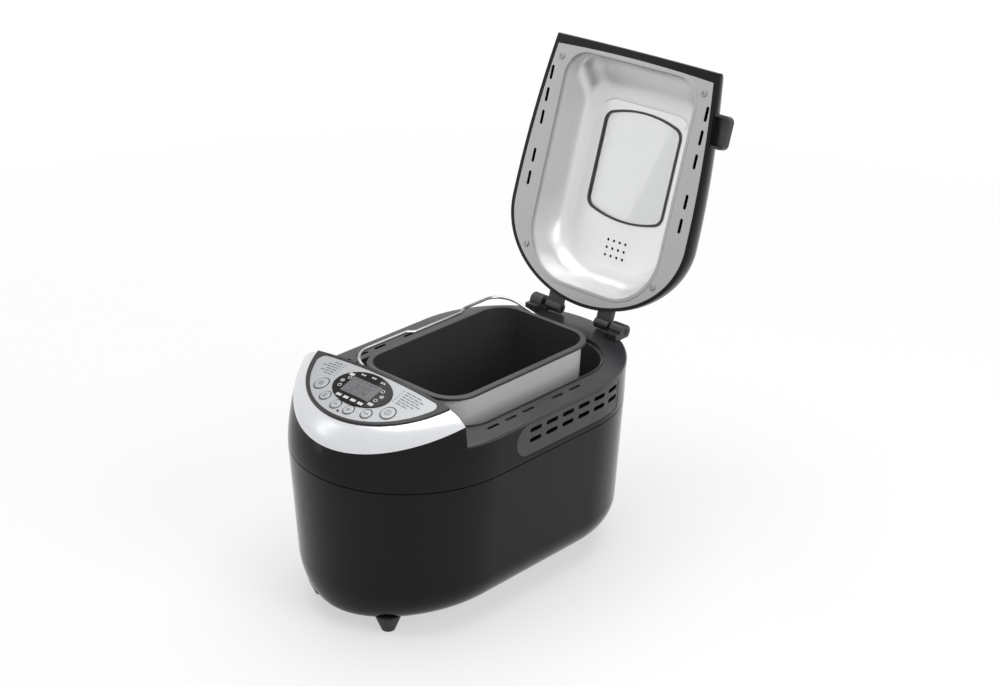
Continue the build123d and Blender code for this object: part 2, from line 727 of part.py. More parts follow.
# ---------------------------------------------------------------- drive
def belt_outline(grow, z):
    """The line of a belt around the two paddle pulleys and the motor's, moved outwards by grow."""
    small, large = MOTOR_PULLEY_R + grow, PULLEY_R + grow
    y1, y2 = PADDLE_YS["front"], PADDLE_YS["rear"]
    lean = (large - small) / (y1 - MOTOR_Y)
    c = sqrt(1 - lean ** 2)
    a = degrees(atan(lean / c))
    half = 90 - a
    edges = [
        CenterArc((0, MOTOR_Y), small, 180 + a, 2 * half),
        Line((small * c, MOTOR_Y - small * lean), (large * c, y1 - large * lean)),
        CenterArc((0, y1), large, -a, a),
        Line((large, y1), (large, y2)),
        CenterArc((0, y2), large, 0, 180),
        Line((-large, y2), (-large, y1)),
        CenterArc((0, y1), large, 180, a),
        Line((-large * c, y1 - large * lean), (-small * c, MOTOR_Y - small * lean)),
    ]
    return outline_face(edges, z)


def make_belt():
    z = PULLEY_Z + 1
    height = PULLEY_H - 2
    return prism(belt_outline(BELT_GAP + BELT_T, z), height) - prism(belt_outline(BELT_GAP, z - 1), height + 2)


def make_pulley(y):
    """A wide pulley with a rim, a web with round windows and a hub."""
    pulley = rod(0, y, PULLEY_Z, PULLEY_Z + PULLEY_H, PULLEY_R)
    pulley -= tube(0, y, PULLEY_Z + 6, PULLEY_Z + PULLEY_H + 1, PULLEY_R - 4, DRIVE_SHAFT_R + 5)
    pulley -= tube(0, y, PULLEY_Z - 1, PULLEY_Z + 3, PULLEY_R - 4, DRIVE_SHAFT_R + 5)
    for i in range(6):
        angle = radians(60 * i + 30)
        reach = (PULLEY_R + DRIVE_SHAFT_R) / 2
        pulley -= rod(reach * cos(angle), y + reach * sin(angle), 0, CHASSIS_Z, 5.5)
    return pulley - rod(0, y, 0, CHASSIS_Z, DRIVE_SHAFT_R + 0.03)


def make_spindle(y):
    return rod(0, y, PULLEY_Z - 3, SPINDLE_TOP_Z, DRIVE_SHAFT_R)


def make_coupler(y):
    """A disc with two upright dogs that turn the wing under the pan."""
    low = TUB_FLOOR_Z + TUB_WALL + 1.5
    coupler = rod(0, y, low, low + COUPLER_T, COUPLER_R)
    for side in (-1, 1):
        coupler += box(-3, 3, y + side * 10 - 2, y + side * 10 + 2, low, low + COUPLER_T + 7)
    return coupler - rod(0, y, low - 1, low + COUPLER_T + 1, DRIVE_SHAFT_R + 0.03)


def make_bearings():
    bearings = []
    for y in PADDLE_YS.values():
        top = CHASSIS_Z + CHASSIS_T
        bearing = rod(0, y, CHASSIS_Z - 3, TUB_FLOOR_Z - 1, BEARING_R) + rod(0, y, top, top + 2, BEARING_R + 4)
        bearings.append(bearing - rod(0, y, 0, TUB_FLOOR_Z, DRIVE_SHAFT_R + RUNNING_GAP))
    return bearings


def make_chassis():
    plate = prism(chassis_outline(CHASSIS_Z), CHASSIS_T)
    for y in PADDLE_YS.values():
        plate -= rod(0, y, CHASSIS_Z - 1, CHASSIS_Z + 3, BEARING_R + SCREW_GAP)
    plate -= rod(0, MOTOR_Y, CHASSIS_Z - 1, CHASSIS_Z + 3, MOTOR_SHAFT_R + 2)
    for x, y in post_points() + motor_screw_points():
        plate -= rod(x, y, CHASSIS_Z - 1, CHASSIS_Z + 3, SCREW_R + SCREW_GAP)
    return plate


def motor_screw_points():
    return [(side * 20.0, MOTOR_Y) for side in (-1, 1)]


def make_motor():
    low = CHASSIS_Z + CHASSIS_T
    motor = rod(0, MOTOR_Y, low, low + MOTOR_H, MOTOR_R - 4)
    motor += rod(0, MOTOR_Y, low, low + 14, MOTOR_R)
    motor += rod(0, MOTOR_Y, low + MOTOR_H - 14, low + MOTOR_H, MOTOR_R)
    motor -= rod(0, MOTOR_Y, low - 1, MOTOR_BORE_Z, MOTOR_SHAFT_R + RUNNING_GAP)
    for x, y in motor_screw_points():
        motor -= rod(x, y, low - 1, low + 9, SCREW_R + SCREW_GAP)
    return motor


def make_motor_shaft():
    return rod(0, MOTOR_Y, PULLEY_Z - 3, MOTOR_BORE_Z - 0.5, MOTOR_SHAFT_R)


def make_motor_pulley():
    pulley = rod(0, MOTOR_Y, PULLEY_Z, PULLEY_Z + PULLEY_H, MOTOR_PULLEY_R)
    return pulley - rod(0, MOTOR_Y, 0, CHASSIS_Z, MOTOR_SHAFT_R + 0.03)


def make_power_board():
    """An upright circuit board beside the motor."""
    low = CHASSIS_Z + CHASSIS_T
    x = MOTOR_R + 8
    board = box(x, x + BOARD_T, MOTOR_Y - 12, MOTOR_Y + 34, low, low + 62)
    side = x + BOARD_T
    board += box(side, side + 14, MOTOR_Y - 8, MOTOR_Y + 6, low + 6, low + 24)
    board += cross_rod(side, side + 13, MOTOR_Y + 18, low + 16, 6)
    board += cross_rod(side, side + 9, MOTOR_Y, low + 42, 5)
    board += box(side, side + 8, MOTOR_Y + 12, MOTOR_Y + 28, low + 34, low + 52)
    return board


# ---------------------------------------------------------------- console
TRIM_PLANE = tilted(TRIM_FRONT_Y, TRIM_FRONT_Z, TRIM_SLOPE)
BEZEL_PLANE = tilted(BEZEL_FRONT_Y, BEZEL_FRONT_Z, BEZEL_SLOPE)
CROWN_PLANE = tilted(BEZEL_FRONT_Y, BEZEL_FRONT_Z + CROWN_LIFT, CROWN_SLOPE)
CROWN_TILT = degrees(atan(CROWN_SLOPE))


def crown(offset):
    """A large cylinder whose upper side is the crowned console face, moved by offset along its normal."""
    return CROWN_PLANE * Pos(0, 0, -CROWN_R) * Rot(90, 0, 0) * Cylinder(CROWN_R + offset, FAR)


def crown_z(x, y):
    """Height of the crowned face over the point (x, y)."""
    drop = CROWN_R - sqrt(CROWN_R ** 2 - x ** 2)
    return BEZEL_FRONT_Z + CROWN_LIFT + (y - BEZEL_FRONT_Y) * CROWN_SLOPE - drop / cos(radians(CROWN_TILT))


def on_crown(x, y):
    """A frame on the crowned face over (x, y), with its Z axis along the face's normal."""
    roll = degrees(atan(x / sqrt(CROWN_R ** 2 - x ** 2)))
    return Pos(x, y, crown_z(x, y)) * Rot(CROWN_TILT, 0, 0) * Rot(0, roll, 0)


def console_face(plane, half, inset=0.0):
    """The console's plan on a tilted plane: a round front and a straight rear edge."""
    slope = -plane.z_dir.Y / plane.z_dir.Z
    rear = (CONSOLE_REAR - inset - plane.origin.Y) * hypot(1, slope)
    arc = ThreePointArc((-half + inset, rear), (0, inset), (half - inset, rear))
    return plane * Face(Wire([arc, Line((half - inset, rear), (-half + inset, rear))]))


def make_trim(solid):
    """The silver collar between the housing and the bezel, with a slightly swollen side."""
    front_block = box(-FAR, FAR, -FAR, CONSOLE_REAR, 0, FAR)
    block = solid & below(TRIM_PLANE) & front_block
    low = max(block.faces(), key=lambda face: face.normal_at().dot(TRIM_PLANE.z_dir) * sqrt(face.area))
    low_half = low.bounding_box().max.X
    middle_y = (TRIM_FRONT_Y + BEZEL_FRONT_Y) / 2 - TRIM_BULGE
    middle_z = (TRIM_FRONT_Z + BEZEL_FRONT_Z) / 2
    middle_plane = tilted(middle_y, middle_z, (TRIM_SLOPE + BEZEL_SLOPE) / 2)
    middle = console_face(middle_plane, (low_half + BEZEL_HALF) / 2 + TRIM_BULGE)
    high = console_face(BEZEL_PLANE, BEZEL_HALF)
    outer = Solid.make_loft([low.outer_wire(), middle.outer_wire(), high.outer_wire()])
    room_low = console_face(TRIM_PLANE.offset(-1), low_half - 3, TRIM_WALL + 1)
    room_high = console_face(BEZEL_PLANE.offset(1), BEZEL_HALF - 1.5, TRIM_WALL + 1)
    room = Solid.make_loft([room_low.outer_wire(), room_high.outer_wire()])
    return outer - room


def lens_outline(inset):
    """The bezel's plan on its seating plane."""
    return console_face(BEZEL_PLANE, BEZEL_HALF, inset)


def panel_face(inset, z):
    """The light panel's plan: a round front, a straight rear edge and rounded corners."""
    half = PANEL_HALF - inset
    rear = PANEL_REAR - inset
    arc = ThreePointArc((-half, rear), (0, PANEL_FRONT + inset), (half, rear))
    face = Face(Wire([arc, Line((half, rear), (-half, rear))]))
    return Pos(0, 0, z) * face.fillet_2d(PANEL_CORNER - inset, face.vertices())


def crown_layer(face, low, high):
    """What stands over a flat outline, between two depths under the crowned face."""
    return prism(face, FAR / 2) & (crown(high) - crown(low))


def lens_bar(grow):
    """The oval display window's outline as a bar along the face's normal."""
    return on_crown(0, LENS_CENTRE) * extrude(Ellipse(LENS_X + grow, LENS_Y + grow), amount=20, both=True)


def cut_controls(body):
    """Cut the holes for the buttons and the lamp."""
    for x, y, radius in BUTTONS.values():
        body -= on_crown(x, y) * Cylinder(radius + MOVING_GAP / 2, 40)
    return body - on_crown(0, LED_Y) * Cylinder(LED_R + SEAT_GAP, 40)


def make_bezel():
    floor = -PANEL_SINK - PANEL_T
    body = extrude(lens_outline(0), amount=40, dir=(0, 0, 1)) & crown(0)
    body -= crown_layer(panel_face(-SEAT_GAP, 100), floor, 5)
    hollow = extrude(lens_outline(BEZEL_RIM), amount=60, dir=(0, 0, 1), both=True) & crown(floor - BEZEL_T)
    body -= hollow
    for side in (-1, 1):
        for x, y in STANDOFFS:
            post = Pos(side * x, y, FAR / 4) * Cylinder(STANDOFF_R, FAR / 2)
            post = post & crown(floor - BEZEL_T / 5)
            body += post - below(CROWN_PLANE.offset(-BOARD_DROP))
    opening = on_crown(0, LENS_CENTRE) * Box(SCREEN_X + 7, SCREEN_Y + 7, 40)
    return cut_controls(body) - opening


def make_panel():
    floor = -PANEL_SINK - PANEL_T
    body = crown_layer(panel_face(0, 100), floor + LAYER_GAP, -PANEL_SINK)
    return cut_controls(body) - lens_bar(SEAT_GAP)


def make_lens():
    floor = -PANEL_SINK - PANEL_T
    return lens_bar(0) & (crown(LENS_PROUD) - crown(floor + LAYER_GAP))


def make_board():
    """The control board under the bezel, with a switch under each button."""
    outline = lens_outline(BOARD_INSET)
    board = extrude(outline, amount=60, dir=(0, 0, 1), both=True)
    board &= below(CROWN_PLANE.offset(-BOARD_DROP))
    board -= below(CROWN_PLANE.offset(-BOARD_DROP - BOARD_T))
    for x, y, radius in BUTTONS.values():
        foot = CROWN_PLANE * Pos(x, (y - BEZEL_FRONT_Y) / cos(radians(CROWN_TILT)), -BOARD_DROP + TACT_H / 2)
        board += foot * Box(6, 6, TACT_H)
    return board


def make_lcd_module():
    middle = (LENS_CENTRE - BEZEL_FRONT_Y) / cos(radians(CROWN_TILT))
    top = -PANEL_SINK - PANEL_T - 0.8
    height = BOARD_DROP + top
    return CROWN_PLANE * Pos(0, middle, top - height / 2) * Box(SCREEN_X + 6, SCREEN_Y + 6, height)


def make_led():
    low = BOARD_DROP - 0.5
    return on_crown(0, LED_Y) * Pos(0, 0, (0.2 - low) / 2) * Cylinder(LED_R, low + 0.2)


def make_button(x, y, radius):
    """A cap with a retaining flange under the bezel and a stem over its switch."""
    floor = PANEL_SINK + PANEL_T + BEZEL_T
    cap_low = floor + BUTTON_STROKE
    cap_top = BUTTON_PROUD - PANEL_SINK
    cap = Pos(0, 0, (cap_top - cap_low) / 2) * Cylinder(radius, cap_top + cap_low)
    cap = fillet(cap.edges().group_by(Axis.Z)[-1], 0.5)
    flange = Pos(0, 0, -floor - 0.9) * Cylinder(radius + 1.2, 1.2)
    stem = Pos(0, 0, -(floor + STEM_DEPTH) / 2) * Cylinder(STEM_R, STEM_DEPTH - floor)
    return on_crown(x, y) * (cap + flange + stem)


# ---------------------------------------------------------------- pan
def pan_outline(grow, z):
    corner = PAN_CORNER + grow
    return rounded(PAN_HALF + grow, PAN_FRONT - grow, PAN_REAR + grow, corner, corner, z)


def pan_block(inset, low, high):
    """The pan's tapering body between two heights."""
    def inward(z):
        return PAN_RIM_W + inset + PAN_DRAFT * (PAN_RIM_Z - z) / (PAN_RIM_Z - PAN_FLOOR_Z)
    return loft([pan_outline(-inward(low), low), pan_outline(-inward(high), high)], ruled=True)


def make_pan():
    outer = pan_block(0, PAN_FLOOR_Z, PAN_RIM_Z)
    floor_edges = outer.edges().group_by(Axis.Z)[0]
    outer = fillet(floor_edges, 8.0)
    pan = outer + prism(pan_outline(0, PAN_RIM_Z - PAN_RIM_T), PAN_RIM_T)
    rim = pan.edges().group_by(Axis.Z)[-1]
    pan = fillet(rim, 1.2)
    inner = pan_block(PAN_WALL, PAN_FLOOR_Z + PAN_WALL, PAN_RIM_Z + 1)
    inner = fillet(inner.edges().group_by(Axis.Z)[0], 7.0)
    pan -= inner
    for y in PADDLE_YS.values():
        pan -= rod(0, y, PAN_FLOOR_Z - 1, PAN_FLOOR_Z + 3, BUSH_R + SCREW_GAP)
    return pan


def make_pan_foot():
    foot = prism(pan_base_outline(0, PAN_BASE_LOW_Z), PAN_FLOOR_Z - PAN_BASE_LOW_Z)
    foot -= prism(pan_base_outline(-PAN_BASE_WALL, PAN_BASE_LOW_Z - 1), PAN_FLOOR_Z - PAN_BASE_LOW_Z - 2)
    for y in PADDLE_YS.values():
        foot -= rod(0, y, PAN_BASE_LOW_Z, PAN_FLOOR_Z + 1, BUSH_R + SCREW_GAP)
    return foot


def make_pan_bushes():
    bushes = []
    for y in PADDLE_YS.values():
        bush = rod(0, y, PAN_FLOOR_Z - 8, PAN_FLOOR_Z + PAN_WALL + 2, BUSH_R)
        bush += rod(0, y, PAN_FLOOR_Z - 8, PAN_FLOOR_Z - 3, BUSH_R + 3)
        bushes.append(bush - rod(0, y, 0, FAR, SHAFT_R + RUNNING_GAP))
    return bushes


def make_seals():
    seals = []
    low = PAN_FLOOR_Z + PAN_WALL + 2
    for y in PADDLE_YS.values():
        seal = rod(0, y, low, low + SEAL_H, SEAL_R - 1)
        seal = chamfer(seal.edges().group_by(Axis.Z)[-1], 1.5)
        seals.append(seal - rod(0, y, 0, FAR, SHAFT_R + RUNNING_GAP))
    return seals


def make_pan_shaft(y):
    """A paddle shaft with a flat at its top and a driving wing at its foot."""
    shaft = rod(0, y, SHAFT_LOW_Z, SHAFT_TOP_Z, SHAFT_R)
    flat_z = PAN_FLOOR_Z + PAN_WALL + 2 + SEAL_H
    shaft -= box(SHAFT_R - 1.2, SHAFT_R + 1, y - SHAFT_R - 1, y + SHAFT_R + 1, flat_z, SHAFT_TOP_Z + 1)
    half = WING_LENGTH / 2
    wing = box(-half, half, y - WING_WIDTH / 2, y + WING_WIDTH / 2, SHAFT_LOW_Z, SHAFT_LOW_Z + WING_H)
    collar = rod(0, y, SHAFT_LOW_Z + WING_H, PAN_FLOOR_Z - 8 - 0.4, SHAFT_R + 2)
    return shaft + fillet(wing.edges().filter_by(Axis.Z), 2.0) + collar


def make_paddle(y, turn):
    """A kneading paddle: a capped hub with one leaning blade."""
    low = PAN_FLOOR_Z + PAN_WALL + 2 + SEAL_H + PADDLE_LIFT
    top = SHAFT_TOP_Z + 0.4
    hub = Pos(0, 0, (low + top + 3) / 2) * Cone(PADDLE_HUB_R, PADDLE_HUB_R - 2, top + 3 - low)
    hub = fillet(hub.edges().group_by(Axis.Z)[-1], 2.0)
    profile = [
        (0, low + 1), (PADDLE_REACH - 5, low + 1), (PADDLE_REACH, low + 6), (PADDLE_REACH - 9, low + PADDLE_BLADE_H),
        (PADDLE_REACH - 18, low + PADDLE_BLADE_H - 1), (PADDLE_REACH - 26, low + PADDLE_BLADE_H - 12), (0, low + 12),
    ]
    blade = extrude(Plane.XZ * Face(Wire.make_polygon(profile, close=True)), amount=PADDLE_BLADE_T / 2, both=True)
    paddle = hub + blade
    bore_r = SHAFT_R + RUNNING_GAP
    bore = Pos(0, 0, (low - 1 + top) / 2) * Cylinder(bore_r, top - low + 1)
    bore -= box(SHAFT_R - 1.2 + RUNNING_GAP, bore_r + 1, -bore_r - 1, bore_r + 1, low - 1, top + 1)
    return Pos(0, y, 0) * (Rot(0, 0, turn) * paddle - bore)


# ---------------------------------------------------------------- pan handle
def bail_ends():
    """Middle of the wire at the front and rear ends of the pan."""
    return PAN_FRONT - BAIL_END_GAP, PAN_REAR + BAIL_END_GAP


def make_bail():
    """A wire handle in one plane: two pegs, two arms, rounded corners and a grip with an inward step."""
    front, rear = bail_ends()
    reach = hypot(BAIL_GRIP_X, BAIL_GRIP_Z - BAIL_PIVOT_Z)
    along = Vector(BAIL_GRIP_X, 0, BAIL_GRIP_Z - BAIL_PIVOT_Z) / reach
    plane = Plane(origin=(0, 0, BAIL_PIVOT_Z), x_dir=along, z_dir=along.cross(Vector(0, 1, 0)))
    points = [
        (0, front + BAIL_PEG),
        (0, front),
        (reach, front),
        (reach, BAIL_JOG_FRONT),
        (reach - BAIL_JOG, BAIL_JOG_FRONT + 8),
        (reach - BAIL_JOG, BAIL_JOG_REAR - 8),
        (reach, BAIL_JOG_REAR),
        (reach, rear),
        (0, rear),
        (0, rear - BAIL_PEG),
    ]
    radii = [2, BAIL_CORNER, 8, 8, 8, 8, BAIL_CORNER, 2]
    flat = [Vector(u, v) for u, v in points]
    line = FilletPolyline(*flat, radius=radii)
    path = plane * Wire(line.edges())
    return bent_rod(path, BAIL_R)


def make_ears(pan_body):
    """Pivot bosses on the pan's short ends."""
    ears = []
    for end, face_y in ((-1, bail_ends()[0]), (1, bail_ends()[1])):
        outside = face_y - end * (BAIL_R + 0.6)
        inside = outside - end * 12
        low, high = min(outside, inside), max(outside, inside)
        boss = end_rod(0, low, high, BAIL_PIVOT_Z, EAR_PIVOT_R)
        plate_out = face_y - end * (BAIL_R + 3.4)
        low, high = min(plate_out, inside), max(plate_out, inside)
        plate = box(-EAR_R, EAR_R, low, high, BAIL_PIVOT_Z - 12, PAN_RIM_Z - PAN_RIM_T)
        ear = fillet(plate.edges().filter_by(Axis.Y), 3.0) + boss
        ear = (ear - pan_body).solids().sort_by(Axis.Y)[0 if end < 0 else -1]
        ears.append(ear - end_rod(0, face_y - 12, face_y + 12, BAIL_PIVOT_Z, BAIL_R + RUNNING_GAP))
    return ears


# ---------------------------------------------------------------- lid, drawn closed
LID_SECTIONS = (
    # height, front corner, half width, front edge, rear edge
    (LID_Z, LID_FRONT_HALF, LID_HALF, LID_FRONT, LID_REAR),
    (LID_Z + 7, LID_FRONT_HALF - 0.2, LID_HALF - 0.3, LID_FRONT, LID_REAR - 0.4),
    (LID_Z + 16, LID_FRONT_HALF - 4, LID_HALF - 3, LID_FRONT + 7, LID_REAR - 3),
    (LID_Z + 27, LID_FRONT_HALF - 12, LID_HALF - 10, LID_FRONT + 21, LID_REAR - 10),
    (LID_Z + 37, LID_FRONT_HALF - 26, LID_HALF - 24, LID_FRONT + 36, LID_REAR - 22),
    (LID_Z + 43.5, LID_FRONT_HALF - 40, LID_HALF - 37, LID_FRONT + 47, LID_REAR - 34),
    (LID_TOP_Z, LID_FRONT_HALF - 52, LID_HALF - 50, LID_FRONT + 55, LID_REAR - 45),
)


def lid_open(shape):
    """Turn a piece from the closed lid to its open rest position."""
    return Pos(0, HINGE_Y, HINGE_Z) * Rot(-LID_OPEN_DEG, 0, 0) * Pos(0, -HINGE_Y, -HINGE_Z) * shape


def liner_outline(grow, z):
    return lid_outline(
        LINER_FRONT_HALF + grow, LINER_HALF + grow, LINER_FRONT - grow, LINER_REAR + grow, LINER_BOW, z
    )


def lid_block(inset):
    return stack([
        lid_outline(corner - inset, half - inset, front + inset, rear - inset, LID_BOW, z)
        for z, corner, half, front, rear in LID_SECTIONS
    ])


def lid_room():
    """The hollow inside the shell: the liner's outline at the rim, then an even wall."""
    low = [liner_outline(SEAT_GAP, LID_Z - 1), liner_outline(SEAT_GAP, LID_Z + 6)]
    high = [
        lid_outline(corner - LID_WALL, half - LID_WALL, front + LID_WALL, rear - LID_WALL, LINER_BOW, z - 1.2)
        for z, corner, half, front, rear in LID_SECTIONS[2:-1]
    ]
    _, corner, half, front, rear = LID_SECTIONS[-1]
    top = lid_outline(corner - 1, half - 1, front + 1, rear - 1, LINER_BOW, LID_TOP_Z - LID_WALL)
    rim = loft(low, ruled=True)
    return rim + stack([low[1], *high, top])


def lid_screw_points():
    return [(side * x, y) for side in (-1, 1) for x, y in LID_SCREWS]


def make_lid_shell(outer):
    """The lid's outer shell, with a window frame, screw bosses and notches for the hinge arms and grip."""
    shell = outer - lid_room()
    frame_low = DOME_TOP_Z + LINER_T + GLASS_T + 0.2
    frame = prism(window_outline(GLASS_GROW + 8, frame_low), LID_TOP_Z - frame_low)
    shell += frame & outer
    shell -= prism(window_outline(GLASS_GROW - 2, 0), FAR)
    shell -= prism(window_outline(GLASS_GROW + SEAT_GAP, LID_TOP_Z - OUTER_GLASS_T - 0.2), FAR)
    for x, y in lid_screw_points():
        shell += rod(x, y, LID_Z + LINER_T, FAR, 5.0) & outer
        shell -= rod(x, y, LID_Z - 1, LID_Z + 12, SCREW_R + SCREW_GAP)
    for side in (-1, 1):
        x = side * ARM_X
        half = ARM_W / 2 + SEAT_GAP
        shell -= box(x - half, x + half, ARM_FRONT_Y - 1, HINGE_Y, ARM_Z - SEAT_GAP, ARM_Z + ARM_T + SEAT_GAP)
    return shell - grip_block(SEAT_GAP)


def grip_block(grow):
    half = GRIP_LENGTH / 2 + grow
    return box(GRIP_X[0] - grow, GRIP_X[1], GRIP_Y - half, GRIP_Y + half, GRIP_LOW_Z - grow, GRIP_TOP_Z + grow)


def make_lid_grip(outer):
    """The finger grip on the lid's edge: a rounded tab, hollow underneath."""
    tab = grip_block(0)
    tab = fillet(tab.edges().filter_by(Axis.Z).sort_by(Axis.X)[-2:], 6.0)
    tab = fillet(tab.edges().group_by(Axis.Z)[-1].sort_by(Axis.X)[-1:], 2.5)
    half = GRIP_LENGTH / 2 - 2.5
    return tab - box(GRIP_X[0] + 3, GRIP_X[1] - 3, GRIP_Y - half, GRIP_Y + half, GRIP_LOW_Z - 1, GRIP_TOP_Z - 3)


def dome_outline(side, front, rear, z):
    """The recess's section, moved in by side, front and rear from its mouth."""
    return rounded(
        DOME_HALF - side,
        DOME_FRONT + front,
        DOME_REAR - rear,
        DOME_FRONT_R - side * 0.1,
        DOME_REAR_R - side * 0.3,
        z,
    )


DOME_ROWS = (
    # height, and how far the side, front and rear walls have moved in there
    (LID_Z, 0.0, 0.0, 0.0),
    (LID_Z + 8, 1.2, 0.8, 0.8),
    (LID_Z + 16, 3.2, 2.2, 2.0),
    (LID_Z + 24, 6.0, 12.0, 3.6),
    (LID_Z + 31, 9.0, 22.0, 7.5),
    (LID_Z + 36, 13.0, 32.0, 13.0),
    (DOME_TOP_Z, 21.0, 41.0, 21.0),
)


def dome(grow, lift):
    """The liner's recess: near-upright walls, a sloping front and a soft turn at the ceiling."""
    rows = [(z, side, front, rear) for z, side, front, rear in DOME_ROWS[:-1]]
    z, side, front, rear = DOME_ROWS[-1]
    rows.append((z + lift, side, front, rear))
    return stack([dome_outline(side - grow, front - grow, rear - grow, z) for z, side, front, rear in rows])


def make_liner():
    """The bright inner lining of the lid: a flat border, a deep recess, vent slots and a window opening."""
    flat = prism(liner_outline(0, LID_Z), LINER_T)
    liner = flat + dome(LINER_T, LINER_T) - dome(0, 0)
    bead = prism(dome_outline(-BEAD_W, -BEAD_W, -BEAD_W, LID_Z - BEAD_H), BEAD_H + 0.2)
    bead = fillet(bead.edges().group_by(Axis.Z)[0], BEAD_H * 0.9)
    liner += bead - prism(dome_outline(0, 0, 0, LID_Z - 2), 2.5)
    liner -= prism(window_outline(GASKET_HOLE, DOME_TOP_Z - 5), 10)
    for side in (-1, 1):
        for y in SLOT_YS:
            liner -= slot_y(side * SLOT_X, y, SLOT_LENGTH, SLOT_WIDTH, LID_Z - 1, LID_Z + 2)
    for i in range(4):
        for j in range(3):
            x = (i - 1.5) * VENT_PITCH_X
            y = VENT_FIRST_Y + j * VENT_PITCH_Y
            liner -= rod(x, y, DOME_TOP_Z - 6, DOME_TOP_Z + 5, VENT_R)
    for x, y in lid_screw_points():
        liner -= rod(x, y, LID_Z - 2, LID_Z + 2, SCREW_R + SCREW_GAP)
    return liner


def make_gasket():
    """A dark frame around the window: a flange under the lining and a neck through its opening."""
    ring = prism(window_outline(GASKET_W, DOME_TOP_Z - 1.2), 1.2)
    ring += prism(window_outline(GASKET_HOLE - SEAT_GAP, DOME_TOP_Z - 1.2), 1.2 + LINER_T)
    return ring - prism(window_outline(0, 0), FAR)


def make_inner_glass():
    return prism(window_outline(GLASS_GROW + 1, DOME_TOP_Z + LINER_T), GLASS_T)


def make_outer_glass():
    return prism(window_outline(GLASS_GROW, LID_TOP_Z - OUTER_GLASS_T - 0.2), OUTER_GLASS_T)


def make_arms():
    """Hinge arms: a flat tongue into the lid and a knuckle around the pin."""
    arms = []
    for side in (-1, 1):
        x = side * ARM_X
        half = ARM_W / 2
        tongue = box(x - half, x + half, ARM_FRONT_Y, HINGE_Y, ARM_Z, ARM_Z + ARM_T)
        knuckle = cross_rod(x - half, x + half, HINGE_Y, HINGE_Z, KNUCKLE_R)
        bore = cross_rod(x - half - 1, x + half + 1, HINGE_Y, HINGE_Z, HINGE_PIN_R + RUNNING_GAP)
        arms.append(tongue + knuckle - bore)
    return arms


def make_hinge_bosses():
    """Pivot bosses on the deck."""
    bosses = []
    for side in (-1, 1):
        x0, x1 = side * BOSS_X - BOSS_W / 2, side * BOSS_X + BOSS_W / 2
        boss = box(x0, x1, BOSS_FRONT_Y, HINGE_Y - 4, DECK_Z, HINGE_Z) + cross_rod(x0, x1, HINGE_Y, HINGE_Z, BOSS_R)
        boss = boss - box(x0 - 1, x1 + 1, 0, FAR, 0, DECK_Z)
        wedge = box(x0, x1, HINGE_Y - BOSS_R, HINGE_Y, DECK_Z, HINGE_Z)
        boss = boss + wedge
        bosses.append(boss - cross_rod(x0 - 1, x1 + 1, HINGE_Y, HINGE_Z, HINGE_PIN_R + SCREW_GAP))
    return bosses


def make_hinge_pins():
    pins = []
    for side in (-1, 1):
        near, far = ARM_X - ARM_W / 2 + 1, BOSS_X + BOSS_W / 2 - 0.5
        x0, x1 = sorted((side * near, side * far))
        pins.append(cross_rod(x0, x1, HINGE_Y, HINGE_Z, HINGE_PIN_R))
    return pins


